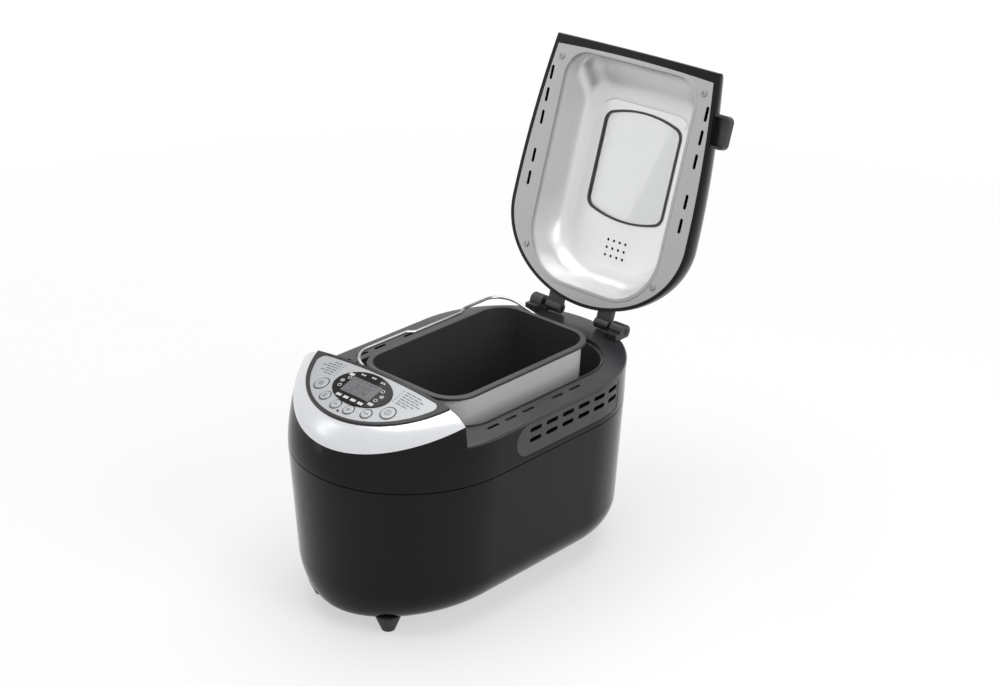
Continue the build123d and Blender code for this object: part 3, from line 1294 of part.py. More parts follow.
def make_all():
    os.makedirs(PARTS, exist_ok=True)
    lower = lower_solid(0, BOTTOM_Z, SEAM_Z - SEAM_WIDTH / 2)
    upper = upper_solid(0, SEAM_Z + SEAM_WIDTH / 2)

    save("lower_housing", make_lower_housing(lower))
    save("feet", *make_feet(lower))
    save("base_plate", make_base_plate())
    save("rear_cover", make_rear_cover())
    save("power_inlet", make_power_inlet(lower))
    save("upper_housing", make_upper_housing(upper))
    save("side_grille", make_side_grille(upper))
    save("deck_frame", make_deck())

    save("console_trim", make_trim(upper))
    save("console_bezel", make_bezel())
    save("control_panel", make_panel())
    save("lcd_window", make_lens())
    save("lcd_module", make_lcd_module())
    save("control_board", make_board())
    save("status_led", make_led())
    for name, (x, y, radius) in BUTTONS.items():
        save(name, make_button(x, y, radius))

    save("chamber_tub", make_tub())
    save("heating_element", make_element())
    save("element_clips", *make_element_clips())
    save("temperature_probe", make_probe())
    save("pan_seat", make_pan_seat())
    save("chassis_plate", make_chassis())
    screws = [screw_up(x, y, BOTTOM_Z, 8) for x, y in base_screw_points()]
    screws += [screw_down(x, y, CHASSIS_Z + CHASSIS_T, 8) for x, y in post_points()]
    screws += [screw_up(x, y, CHASSIS_Z, 8) for x, y in motor_screw_points()]
    save("housing_screws", *screws)
    save("drive_bearings", *make_bearings())
    save("drive_belt", make_belt())
    save("motor", make_motor())
    save("motor_shaft", make_motor_shaft())
    save("motor_pulley", make_motor_pulley())
    save("power_board", make_power_board())
    for name, y in PADDLE_YS.items():
        save(f"drive_pulley_{name}", make_pulley(y))
        save(f"drive_spindle_{name}", make_spindle(y))
        save(f"drive_coupler_{name}", make_coupler(y))

    save("bread_pan", make_pan())
    save("pan_foot", make_pan_foot())
    save("pan_bushes", *make_pan_bushes())
    save("shaft_seals", *make_seals())
    save("bail_ears", *make_ears(pan_block(0, PAN_FLOOR_Z, PAN_RIM_Z)))
    save("bail_handle", make_bail())
    for name, y in PADDLE_YS.items():
        save(f"pan_shaft_{name}", make_pan_shaft(y))
        save(f"paddle_{name}", make_paddle(y, PADDLE_TURN[name]))

    lid = lid_block(0)
    save("lid_shell", lid_open(make_lid_shell(lid)))
    save("lid_grip", lid_open(make_lid_grip(lid)))
    save("lid_liner", lid_open(make_liner()))
    save("window_gasket", lid_open(make_gasket()))
    save("window_inner_glass", lid_open(make_inner_glass()))
    save("window_outer_glass", lid_open(make_outer_glass()))
    screws = [
        screw_up(x, y, LID_Z, 10, SCREW_HEAD_R, LID_SCREW_HEAD_T) for x, y in lid_screw_points()
    ]
    save("lid_screws", *[lid_open(screw) for screw in screws])
    save("hinge_arms", *[lid_open(arm) for arm in make_arms()])
    save("hinge_bosses", *make_hinge_bosses())
    save("hinge_pins", *make_hinge_pins())


make_all()
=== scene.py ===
# %% [markdown]
# Bread machine. A bread machine is a plastic housing round a warm chamber, with a pan that lifts out, a sloped console
# and a hinged lid. I start from the packed frame: every piece is already there at its real size, in metres. Here I
# give the pieces their finish, add the printed marks and light them. The shapes themselves stay as they were built.

# %% Load the frame
import json
from math import atan, cos, pi, radians, sin, sqrt

import bpy
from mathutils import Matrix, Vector


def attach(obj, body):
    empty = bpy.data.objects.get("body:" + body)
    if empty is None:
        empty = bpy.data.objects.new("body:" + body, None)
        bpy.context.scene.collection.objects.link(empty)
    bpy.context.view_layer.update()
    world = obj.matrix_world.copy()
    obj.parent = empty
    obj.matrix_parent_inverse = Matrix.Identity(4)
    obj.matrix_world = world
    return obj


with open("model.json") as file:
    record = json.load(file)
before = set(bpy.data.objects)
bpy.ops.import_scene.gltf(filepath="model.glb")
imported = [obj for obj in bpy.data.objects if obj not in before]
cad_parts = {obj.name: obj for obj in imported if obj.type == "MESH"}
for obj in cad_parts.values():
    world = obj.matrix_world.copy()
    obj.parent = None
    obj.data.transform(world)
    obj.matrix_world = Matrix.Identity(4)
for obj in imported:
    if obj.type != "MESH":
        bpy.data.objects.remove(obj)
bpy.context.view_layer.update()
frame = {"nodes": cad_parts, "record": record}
nodes = frame["nodes"]
scene = bpy.context.scene
MM = 0.001

# %% [markdown]
# The console's face is a shallow crown: a large cylinder, tilted down towards the front. All the printed marks lie on
# it. They could be shrink-wrapped onto the mesh, but the crown is simple enough to work out, and then each mark keeps
# an even, tiny distance from it. So I keep its few numbers here and place each mark by its plan position in
# millimetres.

# %% The console's crowned face
CROWN_R = 700.0
CROWN_SLOPE = 0.338
CROWN_FRONT_Y = -157.0
CROWN_FRONT_Z = 215.0
CROWN_TILT = atan(CROWN_SLOPE)
PANEL_DEPTH = -0.5       # the light panel lies this far under the crown
LENS_HEIGHT = 0.3        # and the oval window stands this far over it
LENS_Y = -119.5
MARK_LIFT = 0.06         # how far ink stands over the surface it is printed on


def crown_point(x, y, height):
    """The point over plan position (x, y), at a height along the crown's normal, in metres."""
    drop = CROWN_R - sqrt(CROWN_R ** 2 - x ** 2)
    z = CROWN_FRONT_Z + (y - CROWN_FRONT_Y) * CROWN_SLOPE - drop / cos(CROWN_TILT)
    roll = atan(x / sqrt(CROWN_R ** 2 - x ** 2))
    normal = Vector((sin(roll), -sin(CROWN_TILT) * cos(roll), cos(CROWN_TILT) * cos(roll)))
    return (Vector((x, y, z)) + normal * height) * MM


print("crown top", tuple(round(v, 4) for v in crown_point(0, LENS_Y, 0)))

# %% [markdown]
# Finishes. Real surfaces are never one flat colour: moulded plastic, brushed sheet and rubber all wander a little. An
# image texture could show that, but it needs a seam and blurs when seen close. A noise worked out from the place on
# the piece has neither fault. Two small helpers come first, because the finishes, the lid's liner and the floor all
# need them.

# %% Helpers for shader trees
M = {}


def ramp(tree, value, start, stop, low, high):
    """A factor that runs from low to high while the value runs from start to stop."""
    node = tree.nodes.new("ShaderNodeMapRange")
    for name, number in (("From Min", start), ("From Max", stop), ("To Min", low), ("To Max", high)):
        node.inputs[name].default_value = number
    tree.links.new(value, node.inputs["Value"])
    return node.outputs["Result"]


def place_measure(tree, operation, other=(0.0, 0.0, 0.0)):
    """A number worked out from the place on the piece, in its own metres."""
    place = tree.nodes.new("ShaderNodeTexCoord")
    node = tree.nodes.new("ShaderNodeVectorMath")
    node.operation = operation
    node.inputs[1].default_value = other
    tree.links.new(place.outputs["Object"], node.inputs[0])
    return node.outputs["Value"]


print("helpers", ramp.__name__, place_measure.__name__)

# %% [markdown]
# One finish is a single Principled shader. Noise moves its colour and its roughness up and down by a share, and a
# finer noise can roughen the surface as a bump. Gloss comes from the shader and the lights only, so a piece looks
# right from every side.

# %% One finish
NOISE_LOW, NOISE_HIGH = 0.3, 0.7     # the part of the noise's range that most of the surface lies in
BUMP_GRAIN = 900.0
BUMP_DEPTH = 0.0003


def finish(name, colour, rough, metal=0.0, coat=0.0, coat_rough=0.05, vary=0.06, grain=40.0, bump=0.0,
           stretch=(1.0, 1.0, 1.0), rough_vary=0.25, ior=1.5, transmission=0.0):
    """One Principled surface with a little noise in its colour, roughness and height, kept in M by its name."""
    material = bpy.data.materials.new(name)
    material.use_nodes = True
    tree = material.node_tree
    shader = tree.nodes["Principled BSDF"]
    shader.inputs["Metallic"].default_value = metal
    shader.inputs["Coat Weight"].default_value = coat
    shader.inputs["Coat Roughness"].default_value = coat_rough
    shader.inputs["IOR"].default_value = ior
    shader.inputs["Transmission Weight"].default_value = transmission
    where = tree.nodes.new("ShaderNodeTexCoord")
    scale = tree.nodes.new("ShaderNodeMapping")
    scale.inputs["Scale"].default_value = stretch
    tree.links.new(where.outputs["Object"], scale.inputs["Vector"])

    noise = tree.nodes.new("ShaderNodeTexNoise")
    noise.inputs["Scale"].default_value = grain
    noise.inputs["Detail"].default_value = 4.0
    tree.links.new(scale.outputs["Vector"], noise.inputs["Vector"])
    tint = tree.nodes.new("ShaderNodeValToRGB")
    dark, light = tint.color_ramp.elements
    dark.position, light.position = NOISE_LOW, NOISE_HIGH
    dark.color = [c * (1 - vary) for c in colour] + [1.0]
    light.color = [min(1.0, c * (1 + vary)) for c in colour] + [1.0]
    tree.links.new(noise.outputs["Fac"], tint.inputs["Fac"])
    tree.links.new(tint.outputs["Color"], shader.inputs["Base Color"])

    spread = ramp(tree, noise.outputs["Fac"], NOISE_LOW, NOISE_HIGH, rough * (1 - rough_vary),
                  min(1.0, rough * (1 + rough_vary)))
    tree.links.new(spread, shader.inputs["Roughness"])

    if bump:
        fine = tree.nodes.new("ShaderNodeTexNoise")
        fine.inputs["Scale"].default_value = BUMP_GRAIN
        fine.inputs["Detail"].default_value = 3.0
        tree.links.new(scale.outputs["Vector"], fine.inputs["Vector"])
        height = tree.nodes.new("ShaderNodeBump")
        height.inputs["Strength"].default_value = bump
        height.inputs["Distance"].default_value = BUMP_DEPTH
        tree.links.new(fine.outputs["Fac"], height.inputs["Height"])
        tree.links.new(height.outputs["Normal"], shader.inputs["Normal"])
    M[name] = material


print("finish ready:", finish.__doc__)

# %% [markdown]
# The outside of the machine is moulded plastic: gloss black for the body and the lid, satin black and grey for the
# deck, the grille, the console's surround and the hinges. A true gloss black would mirror the white studio and turn
# grey, so the gloss pieces get a low index of refraction, which keeps them dark.

# %% Plastic finishes
finish("body_black", (0.004, 0.004, 0.005), 0.14, grain=12, ior=1.27)
finish("lid_black", (0.004, 0.004, 0.005), 0.16, grain=12, ior=1.26)
finish("deck_dark", (0.02, 0.02, 0.023), 0.3, grain=300, vary=0.03, rough_vary=0.06)
finish("grille_grey", (0.028, 0.028, 0.031), 0.42, grain=60, bump=0.1)
finish("bezel_dark", (0.014, 0.014, 0.016), 0.32, grain=60, ior=1.38)
finish("grip_black", (0.014, 0.014, 0.016), 0.35, grain=60, bump=0.08)
finish("hinge_plastic", (0.02, 0.02, 0.022), 0.38, grain=60, bump=0.1)
finish("pulley_plastic", (0.62, 0.6, 0.55), 0.5, grain=80)
finish("button_grey", (0.4, 0.41, 0.42), 0.38, metal=0.3, grain=1500, vary=0.02, rough_vary=0.1)
finish("panel_silver", (0.42, 0.43, 0.44), 0.42, metal=0.3, grain=1500, vary=0.02, rough_vary=0.1)
finish("display_module", (0.18, 0.2, 0.19), 0.4, grain=80)
finish("lamp_red", (0.03, 0.012, 0.012), 0.15, coat=0.6, grain=20)
finish("circuit_board", (0.02, 0.13, 0.06), 0.45, grain=200)
print("finishes so far", len(M))

# %% [markdown]
# The trim, the pan, the chamber, the lid's liner and the works inside are metal or look like it. Bare sheet is never a
# perfect mirror, so most of them stay part metal and part plain colour: they then keep their brightness where there is
# nothing bright to mirror.

# %% Metal finishes
finish("silver_trim", (0.72, 0.73, 0.75), 0.26, metal=0.75, coat=0.3, coat_rough=0.1,
       grain=1500, vary=0.015, rough_vary=0.08)
finish("tub_steel", (0.09, 0.09, 0.093), 0.36, metal=0.6, grain=200, stretch=(1, 1, 0.05))
finish("steel", (0.62, 0.62, 0.63), 0.22, metal=1.0, grain=300, vary=0.05)
finish("zinc_plate", (0.5, 0.5, 0.49), 0.38, metal=1.0, grain=120, vary=0.1, bump=0.05)
finish("element_steel", (0.16, 0.15, 0.14), 0.42, metal=0.8, grain=150, vary=0.15)
finish("brass_bush", (0.62, 0.46, 0.2), 0.35, metal=1.0, grain=200)
finish("motor_steel", (0.12, 0.12, 0.13), 0.4, metal=0.5, grain=80)
finish("pan_aluminium", (0.94, 0.94, 0.94), 0.38, metal=0.1, grain=600, vary=0.02, rough_vary=0.1)
finish("pan_inside", (0.06, 0.06, 0.062), 0.4, metal=0.3, grain=800, vary=0.2, bump=0.08)
finish("bail_chrome", (0.42, 0.42, 0.43), 0.18, metal=1.0, grain=200, vary=0.03)
finish("paddle_dark", (0.045, 0.045, 0.047), 0.4, metal=0.3, grain=600, vary=0.2)
finish("liner_aluminium", (0.77, 0.77, 0.775), 0.34, metal=0.65, grain=500, vary=0.02, rough_vary=0.1)
finish("pin_steel", (0.02, 0.02, 0.021), 0.35, metal=0.4, grain=300, vary=0.05)
finish("screw_steel", (0.3, 0.3, 0.31), 0.3, metal=1.0, grain=300, vary=0.05)
print("finishes so far", len(M))

# %% [markdown]
# What is left is glass, rubber, ink and the studio's floor. A display's window looks black until it is lit, so here it
# is a very dark gloss and lets nothing through. The lid's panes do let light through, with a pale grey tint.

# %% Glass, rubber and ink
finish("display_window", (0.003, 0.003, 0.004), 0.07, grain=10, ior=1.25)
finish("window_glass", (0.875, 0.88, 0.885), 0.02, grain=10, vary=0.005, transmission=0.9, coat=0.3, ior=1.45)
finish("belt_rubber", (0.018, 0.018, 0.018), 0.75, grain=300, bump=0.2)
finish("seal_rubber", (0.03, 0.028, 0.026), 0.6, grain=200)
finish("foot_rubber", (0.014, 0.014, 0.014), 0.6, grain=200, bump=0.15)
finish("gasket_dark", (0.035, 0.035, 0.037), 0.45, grain=200)
finish("ink_dark", (0.03, 0.03, 0.033), 0.5, grain=60)
finish("ink_light", (0.6, 0.6, 0.6), 0.5, grain=60)
finish("screen_grey", (0.11, 0.115, 0.12), 0.3, grain=160, vary=0.12)
finish("screen_mark", (0.035, 0.036, 0.038), 0.35, grain=60)
finish("floor_white", (0.94, 0.94, 0.94), 0.75, grain=2, vary=0.004, rough_vary=0.05)
print("finishes so far", len(M))

# %% [markdown]
# Each piece has a slot in the record that says what it is made of. I look the finish up by that slot, so that pieces
# of one kind stay alike. Two small pieces share the slot of the bright steel parts but are darker on the machine.

# %% Give each piece its finish
LOOKS = {"lid_screws": "screw_steel", "hinge_pins": "pin_steel"}
for row in frame["record"]["subparts"]:
    slot = LOOKS.get(row["node"], row["material_slot"])
    obj = nodes[row["node"]]
    obj.data.materials.clear()
    obj.data.materials.append(M[slot])
print("materials", len(M), "pieces", len(nodes))

# %% [markdown]
# The lid's liner is one pressed sheet. Its flat flange is given painted shade: a darker colour than the dome, standing
# in for light that falls less on the flange than on the dome. It could be cut into two materials, but the edge would
# follow the mesh's triangles. I multiply its colour by a grey instead, which fades out with the depth behind the
# flange's plane.

# %% Liner flange, painted shade
OUTWARD = (0.0, 0.9527, -0.304)      # from the flange into the dome, with the lid open as at rest
# painted shade: how much darker the flange's colour is made than the dome's, in place of the light it lacks
FLANGE_PAINTED_SHADE = 0.53
FLANGE_START, FLANGE_END = 0.0015, 0.006     # the depth over which the grey fades out
flange = min(vertex.co @ Vector(OUTWARD) for vertex in nodes["lid_liner"].data.vertices)
tree = M["liner_aluminium"].node_tree
colour_input = tree.nodes["Principled BSDF"].inputs["Base Color"]
# this mix paints the shade onto the flange by multiplying the liner's colour
shade = tree.nodes.new("ShaderNodeMix")
shade.data_type = "RGBA"
shade.blend_type = "MULTIPLY"
factor, plain, grey = shade.inputs[0], shade.inputs[6], shade.inputs[7]      # the colour mix's own sockets
grey.default_value = (FLANGE_PAINTED_SHADE, FLANGE_PAINTED_SHADE, FLANGE_PAINTED_SHADE, 1.0)
depth = place_measure(tree, "DOT_PRODUCT", OUTWARD)
tree.links.new(ramp(tree, depth, flange + FLANGE_START, flange + FLANGE_END, 1.0, 0.0), factor)
tree.links.new(colour_input.links[0].from_socket, plain)
tree.links.new(shade.outputs[2], colour_input)
print("flange plane", round(flange, 4))

# %% [markdown]
# The packed meshes come with one facet per CAD triangle, which would show as flat spots in the gloss. More triangles
# would cost much and still show. I merge the doubled edge points with a Weld, let the shading run smooth over the
# round faces, and split it where two faces meet at more than 32 degrees, so that real edges stay crisp.

# %% Smooth shading
CREASE = radians(32)
SAME_POINT = 0.00001
for name, obj in nodes.items():
    for polygon in obj.data.polygons:
        polygon.use_smooth = True
    weld = obj.modifiers.new("weld", "WELD")
    weld.merge_threshold = SAME_POINT
    split = obj.modifiers.new("crisp", "EDGE_SPLIT")
    split.split_angle = CREASE
print("shaded", len(nodes))

# %% [markdown]
# The pan is one piece with two finishes: bare aluminium outside and a dark non-stick coat inside and over the rim.
# Faces could be picked by hand, but that breaks with each new build. I pick them by which way they look: the walls
# that face the pan's middle, the floor that faces up, and all of the rim.

# %% Pan coating
pan = nodes["bread_pan"]
pan.data.materials.append(M["pan_inside"])
PAN_MIDDLE_Y = 0.032
PAN_LENGTH_SHARE = 0.6   # the pan is longer than wide, so its length counts less in the way to its middle
FACING = 0.001           # how clearly a wall face looks to the middle
UPWARD = 0.5             # how clearly a floor face looks up
FLOOR_Z = 0.0785         # upward faces above this are the pan's floor
WALL_Z = 0.079           # inward faces above this are its walls
RIM_Z = 0.2138           # all faces above this are its rim
coated = 0
for polygon in pan.data.polygons:
    c = polygon.center
    n = polygon.normal
    to_middle = Vector((-c.x, (PAN_MIDDLE_Y - c.y) * PAN_LENGTH_SHARE, 0))
    faces_in = n.dot(to_middle) > FACING and c.z > WALL_Z
    if faces_in or c.z > RIM_Z or (n.z > UPWARD and c.z > FLOOR_Z):
        polygon.material_index = 1
        coated += 1
print("pan faces coated", coated, "of", len(pan.data.polygons))

# %% [markdown]
# Marks on the console. Printed ink could be an image texture, but thin flat shapes stay sharp when seen close and
# need no unwrapping. Every mark is a bar, a ring or a dot laid on the crown. There is no lettering, only generic
# strokes where a real machine has its programme list.


class Marks:
    """Thin flat shapes on the crown, gathered into one printed piece. Sizes are in millimetres."""

    def __init__(self):
        self.verts = []
        self.faces = []

    def patch(self, x, y, width, depth, height, steps=4):
        """A small rectangle, cut across its width so that it follows the crown."""
        start = len(self.verts)
        for i in range(steps + 1):
            for j in (0, 1):
                self.verts.append(crown_point(x + (i / steps - 0.5) * width, y + (j - 0.5) * depth, height))
        for i in range(steps):
            a = start + 2 * i
            self.faces.append((a, a + 2, a + 3, a + 1))

    def ring(self, x, y, outer, inner, height, steps=40, squeeze=1.0):
        start = len(self.verts)
        for i in range(steps):
            a = 2 * pi * i / steps
            for r in (outer, inner):
                self.verts.append(crown_point(x + r * cos(a), y + r * squeeze * sin(a), height))
        for i in range(steps):
            a, b = start + 2 * i, start + 2 * ((i + 1) % steps)
            self.faces.append((a, b, b + 1, a + 1))

    def disc(self, x, y, radius, height, steps=24):
        start = len(self.verts)
        for i in range(steps):
            a = 2 * pi * i / steps
            self.verts.append(crown_point(x + radius * cos(a), y + radius * sin(a), height))
        self.faces.append(tuple(range(start, start + steps)))

    def print_on(self, name, material, body):
        """Make the piece. It moves with a body and takes the finish it is given."""
        mesh = bpy.data.meshes.new(name)
        mesh.from_pydata([tuple(v) for v in self.verts], [], self.faces)
        mesh.update()
        obj = bpy.data.objects.new(name, mesh)
        scene.collection.objects.link(obj)
        mesh.materials.append(M[material])
        for polygon in mesh.polygons:
            polygon.use_smooth = True
        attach(obj, body)
        print(name, len(self.faces))


print("mark makers", [name for name in vars(Marks) if not name.startswith("__")])

# %% [markdown]
# The light panel carries a ring round each key and, on both sides, a short list. Each row of a list is a dot and a
# few dashes of uneven length, which read as text from a distance and say nothing when seen close.

# %% Panel marks
BUTTONS = {              # middle x and y, and radius
    "button_start": (44.8, -129.5, 7.0),
    "button_loaf": (27.6, -140.4, 5.2),
    "button_plus": (8.6, -144.6, 5.2),
    "button_minus": (-8.6, -144.6, 5.2),
    "button_crust": (-27.6, -140.4, 5.2),
    "button_menu": (-44.8, -129.5, 7.0),
}
RING_OUT, RING_IN = 0.95, 0.1    # the ring round each key, over the key's radius
LIST_X = {-1: 42.0, 1: 37.5}     # how far from the middle each side's list starts
LIST_TOP_Y = -102.0
LIST_PITCH = 2.9
LIST_ROWS = {                    # the length of each row of dashes
    -1: (11.0, 17.0, 22.0, 14.0, 19.0, 12.0),
    1: (20.0, 25.0, 22.0, 26.0, 21.0, 15.0),
}
DASH_LENGTH = 6.0
DASH_GAP = 1.0
DASH_DEPTH = 0.85
DOT_LENGTH = 1.3
DOT_GAP = 3.0
INK = PANEL_DEPTH + MARK_LIFT
marks = Marks()
for x, y, radius in BUTTONS.values():
    marks.ring(x, y, radius + RING_OUT, radius + RING_IN, INK)
for side, rows in LIST_ROWS.items():
    for i, length in enumerate(rows):
        y = LIST_TOP_Y - i * LIST_PITCH
        dashes = max(2, round(length / DASH_LENGTH))
        share = length / dashes
        for k in range(dashes):
            x = side * (LIST_X[side] + DOT_GAP + share * (k + 0.5))
            marks.patch(x, y, share - DASH_GAP, DASH_DEPTH, INK)
        marks.patch(side * LIST_X[side], y, DOT_LENGTH, DASH_DEPTH, INK)
marks.print_on("panel_marks", "ink_dark", "housing")

# %% [markdown]
# The display is a grey screen behind the dark window. Seen from outside, its light shows through, so I lay the screen
# as a thin piece just over the window. Its numerals are made of straight strokes, as on the real thing: one small bar
# for each stroke, and a plain time of day.

# %% Display
SCREEN_X = -1.0
SCREEN_W, SCREEN_D = 38.0, 19.0
SCREEN_TOP = LENS_HEIGHT + MARK_LIFT
marks = Marks()
marks.patch(SCREEN_X, LENS_Y, SCREEN_W, SCREEN_D, SCREEN_TOP, steps=10)
marks.print_on("display_screen", "screen_grey", "housing")

SEG = LENS_HEIGHT + 2 * MARK_LIFT
DIGIT_Y = LENS_Y - 1.0
W, D, T = 4.0, 7.6, 0.8          # a digit's width and height, and the width of its strokes
STROKES = {                      # middle x and y, and size, from the digit's middle
    "a": (0, D / 2, W, T), "g": (0, 0, W, T), "d": (0, -D / 2, W, T),
    "f": (-W / 2, D / 4, T, D / 2 - T), "b": (W / 2, D / 4, T, D / 2 - T),
    "e": (-W / 2, -D / 4, T, D / 2 - T), "c": (W / 2, -D / 4, T, D / 2 - T),
}
DIGITS = ((-8.0, "abcdg"), (0.0, "abcdef"), (6.6, "abcdef"))     # middle x and strokes of each
COLON_X = -3.9
COLON_Y = 1.6
COLON_SIZE = 0.9
BARS = 5
BARS_X = -13.0
BARS_PITCH = 6.0
BAR_ROWS = ((7.4, 4.2, 0.9), (-8.0, 3.4, 0.7))       # y from the display's middle, and size
marks = Marks()
for digit_x, strokes in DIGITS:
    for stroke in strokes:
        dx, dy, width, depth = STROKES[stroke]
        marks.patch(digit_x + dx, DIGIT_Y + dy, width, depth, SEG)
for dy in (-COLON_Y, COLON_Y):
    marks.patch(COLON_X, DIGIT_Y + dy, COLON_SIZE, COLON_SIZE, SEG)
for i in range(BARS):
    for dy, width, depth in BAR_ROWS:
        marks.patch(BARS_X + BARS_PITCH * i, LENS_Y + dy, width, depth, SEG)
marks.print_on("display_digits", "screen_mark", "housing")

# %% [markdown]
# Round the screen, the window has small pale signs for the stages of baking. I keep their places and sizes and leave
# out what they show: pairs of bars above, a row of bars below, rings at both sides that follow the oval's edge, and a
# bar at two of its corners.

# %% Window marks
TOP_X = (-13.0, 0.0, 13.0)       # the pairs above the display, from the window's middle
TOP_Y = 15.6
TOP_CURVE = 0.006
PAIR_PITCH = 3.2
PAIR_SIZE = (2.4, 1.7)
LOW_X = (-15.5, -6.0, 3.5, 13.0)     # the row under it
LOW_Y = -14.6
LOW_SIZE = (6.4, 3.0)
SIDE_X = 26.4                    # the rings beside it, which follow the window's edge
SIDE_CURVE = 0.10
RINGS = ((-4.8, False), (1.0, True), (6.6, False))     # y, and whether it has a dot
RING_SIZE = (2.3, 1.5)           # outer and inner radius
RING_SQUEEZE = 0.8
RING_DOT = 0.8
CORNER_X, CORNER_Y = 23.5, 10.6
CORNER_SIZE = (6.0, 3.2)
marks = Marks()
for x in TOP_X:
    for k in (-0.5, 0.5):
        marks.patch(x + PAIR_PITCH * k, LENS_Y + TOP_Y - TOP_CURVE * x * x, *PAIR_SIZE, SEG)
for x in LOW_X:
    marks.patch(x, LENS_Y + LOW_Y, *LOW_SIZE, SEG)
for side in (-1, 1):
    for y, dotted in RINGS:
        x = side * (SIDE_X - SIDE_CURVE * y * y) + SCREEN_X
        marks.ring(x, LENS_Y + y, *RING_SIZE, SEG, steps=20, squeeze=RING_SQUEEZE)
        if dotted:
            marks.disc(x, LENS_Y + y, RING_DOT, SEG)
    marks.patch(side * CORNER_X + SCREEN_X, LENS_Y - side * CORNER_Y, *CORNER_SIZE, SEG)
marks.print_on("window_marks", "ink_light", "housing")

# %% [markdown]
# Each key carries a simple sign. A sign has to go down with its key, so it can't be part of the panel's marks: each is
# a piece of its own that rides on the key's body.

# %% Button symbols
KEY_HEIGHT = 0.2                 # how far the keys stand over the crown
BUTTON_TOP = KEY_HEIGHT + MARK_LIFT
THREE = (-1, 0, 1)
POWER_RING = (3.2, 2.6)          # outer and inner radius
POWER_BAR = (0.7, 3.0)
BAR_SHARE = 0.75                 # a bar's length, over the key's radius
BAR_DEPTH = 0.55
BAR_PITCH = 1.6
SIGN = (4.0, 0.7)
DOT_R = 0.65
DOT_PITCH = 1.9
SYMBOLS = {
    "button_start": "ring", "button_menu": "bars", "button_plus": "plus", "button_minus": "minus",
    "button_loaf": "dots", "button_crust": "bars",
}
for name, (x, y, radius) in BUTTONS.items():
    marks = Marks()
    kind = SYMBOLS[name]
    if kind == "ring":
        marks.ring(x, y, *POWER_RING, BUTTON_TOP)
        marks.patch(x, y, *POWER_BAR, BUTTON_TOP)
    if kind == "bars":
        for k in THREE:
            marks.patch(x, y + BAR_PITCH * k, radius * BAR_SHARE, BAR_DEPTH, BUTTON_TOP)
    if kind in ("plus", "minus"):
        marks.patch(x, y, *SIGN, BUTTON_TOP)
    if kind == "plus":
        marks.patch(x, y, *reversed(SIGN), BUTTON_TOP)
    if kind == "dots":
        for k in THREE:
            marks.disc(x + DOT_PITCH * k, y, DOT_R, BUTTON_TOP)
    marks.print_on("mark_" + name, "ink_dark", name + "_key")

# %% [markdown]
# Camera: a three-quarter view from a little above, so that the console, the open chamber and the lid's inside all
# show. A long lens from further away keeps the machine's upright edges nearly parallel, as in product images.

# %% Camera
data = bpy.data.cameras.new("camera")
camera = bpy.data.objects.new("camera", data)
scene.collection.objects.link(camera)
data.lens = 71.13
data.sensor_fit = "HORIZONTAL"
data.sensor_width = 36.0
data.clip_start = 0.05
data.clip_end = 100.0
camera.location = (1.2132, -1.2049, 1.0211)
camera.rotation_euler = (radians(65.29), 0.0, radians(43.74))
scene.camera = camera
print("camera", tuple(camera.location))

# %% [markdown]
# Studio. A product is often shown on a white sweep of paper. A curved sweep would do, but a wide flat floor is enough,
# because the camera looks down and never sees its end.

# %% Floor
FLOOR = 8.0              # half of its width
corners = [(-FLOOR, -FLOOR, 0), (FLOOR, -FLOOR, 0), (FLOOR, FLOOR, 0), (-FLOOR, FLOOR, 0)]
mesh = bpy.data.meshes.new("floor")
mesh.from_pydata(corners, [], [(0, 1, 2, 3)])
floor = bpy.data.objects.new("floor", mesh)
scene.collection.objects.link(floor)
mesh.materials.append(M["floor_white"])
print("floor", 2 * FLOOR, "m wide")

# %% [markdown]
# A large soft lamp above gives the even light and the soft shadow. A weak panel on the left and a stronger one on the
# right shape the sides and light the inside of the lid. Small hard lamps would leave sharp spots in the gloss black,
# so all three are large.

# %% Lamps
SPREAD = radians(150)


def softbox(name, place, aim, width, height, power):
    """A rectangular lamp that looks at a point; its size is in metres and its power in watts."""
    lamp = bpy.data.lights.new(name, "AREA")
    lamp.shape = "RECTANGLE"
    lamp.size = width
    lamp.size_y = height
    lamp.energy = power
    lamp.spread = SPREAD
    obj = bpy.data.objects.new(name, lamp)
    scene.collection.objects.link(obj)
    obj.location = place
    direction = Vector(aim) - Vector(place)
    obj.rotation_euler = direction.to_track_quat("-Z", "Y").to_euler()


softbox("overhead", place=(-0.2, 0.3, 2.4), aim=(0.0, 0.0, 0.1), width=2.4, height=2.4, power=33.0)
softbox("left_panel", place=(-1.9, -1.9, 1.0), aim=(0.0, -0.05, 0.2), width=0.5, height=1.8, power=1.6)
softbox("right_panel", place=(2.6, 0.2, 1.5), aim=(0.0, 0.0, 0.2), width=1.4, height=1.6, power=18.0)

# %% [markdown]
# The world is the room round the studio. A world that lights the scene at full white would wash out the shadows, and a
# grey one would look grey behind the machine. So it does both: rays that reach it straight from the camera, from a
# mirror-like surface or through glass find plain white, and all others find a soft, weaker light.

# %% World


def seen_directly(tree):
    """A factor that is 1 for rays from the camera, mirror-like rays and rays through glass, else 0."""
    path = tree.nodes.new("ShaderNodeLightPath")
    total = path.outputs["Is Camera Ray"]
    for name in ("Is Glossy Ray", "Is Transmission Ray"):
        add = tree.nodes.new("ShaderNodeMath")
        add.operation = "MAXIMUM"
        tree.links.new(total, add.inputs[0])
        tree.links.new(path.outputs[name], add.inputs[1])
        total = add.outputs["Value"]
    return total


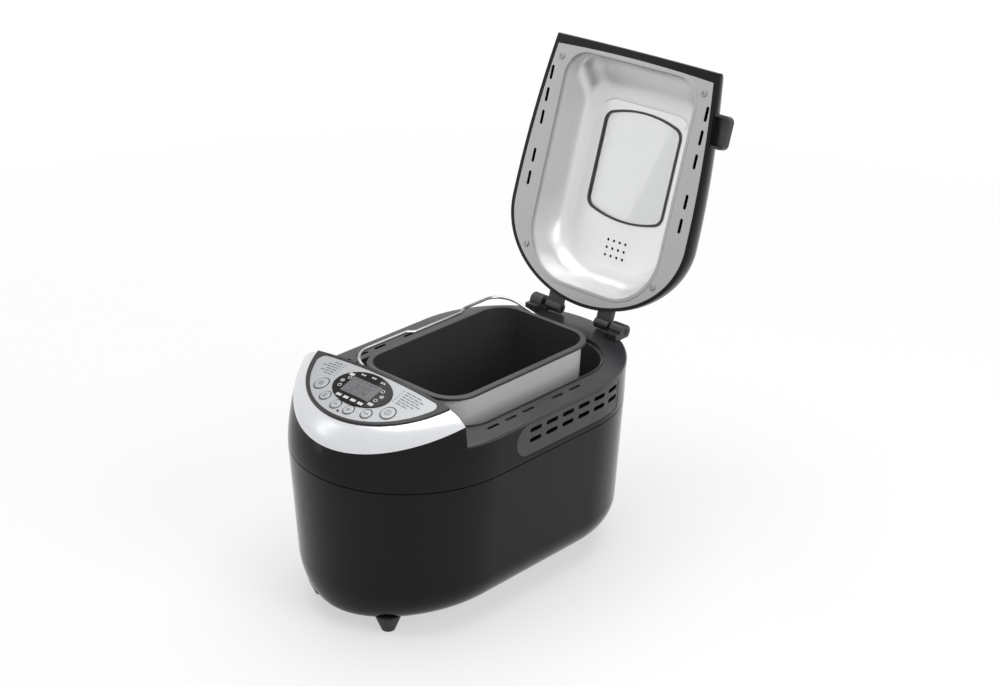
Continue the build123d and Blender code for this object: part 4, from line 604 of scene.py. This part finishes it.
def mix_shaders(tree, factor, first, second, output):
    """Send a mix of two shaders to an output node; a factor of 1 takes the second one alone."""
    node = tree.nodes.new("ShaderNodeMixShader")
    tree.links.new(factor, node.inputs["Fac"])
    tree.links.new(first, node.inputs[1])
    tree.links.new(second, node.inputs[2])
    tree.links.new(node.outputs["Shader"], output.inputs["Surface"])


WHITE = (1.0, 1.0, 1.0, 1.0)
SKY = (0.97, 0.98, 1.0, 1.0)
SKY_STRENGTH = 0.35      # what the world sends as soft light
world = bpy.data.worlds.new("studio")
scene.world = world
world.use_nodes = True
tree = world.node_tree
soft = tree.nodes["Background"]
soft.inputs["Color"].default_value = SKY
soft.inputs["Strength"].default_value = SKY_STRENGTH
clear = tree.nodes.new("ShaderNodeBackground")
clear.inputs["Color"].default_value = WHITE
clear.inputs["Strength"].default_value = 1.0
mix_shaders(tree, seen_directly(tree), soft.outputs["Background"], clear.outputs["Background"],
            tree.nodes["World Output"])
print("world", SKY_STRENGTH)

# %% [markdown]
# Paper in a bright studio runs out to pure white, but near the machine it has to take the shadow. So a share of the
# floor's white is its own light, seen only directly. The share is about half beside the machine and rises to all of it
# further out.

# %% The floor's own white
NEAR_GLOW = 0.55         # how much of the floor's white is its own close to the machine; the rest takes the shadow
NEAR, FAR = 0.35, 1.4    # the distances from the middle between which that share rises to all of it
tree = M["floor_white"].node_tree
glow = tree.nodes.new("ShaderNodeEmission")
glow.inputs["Color"].default_value = WHITE
share = tree.nodes.new("ShaderNodeMath")
share.operation = "MULTIPLY"
tree.links.new(seen_directly(tree), share.inputs[0])
tree.links.new(ramp(tree, place_measure(tree, "LENGTH"), NEAR, FAR, NEAR_GLOW, 1.0), share.inputs[1])
mix_shaders(tree, share.outputs["Value"], tree.nodes["Principled BSDF"].outputs["BSDF"], glow.outputs["Emission"],
            tree.nodes["Material Output"])
scene.view_settings.view_transform = "Standard"
scene.view_settings.exposure = 0.0
print("floor glow", NEAR_GLOW, "to 1.0, view", scene.view_settings.view_transform)

# %% [markdown]
# Last, I bring the scene up to date.

# %% Bring the scene up to date
bpy.context.view_layer.update()
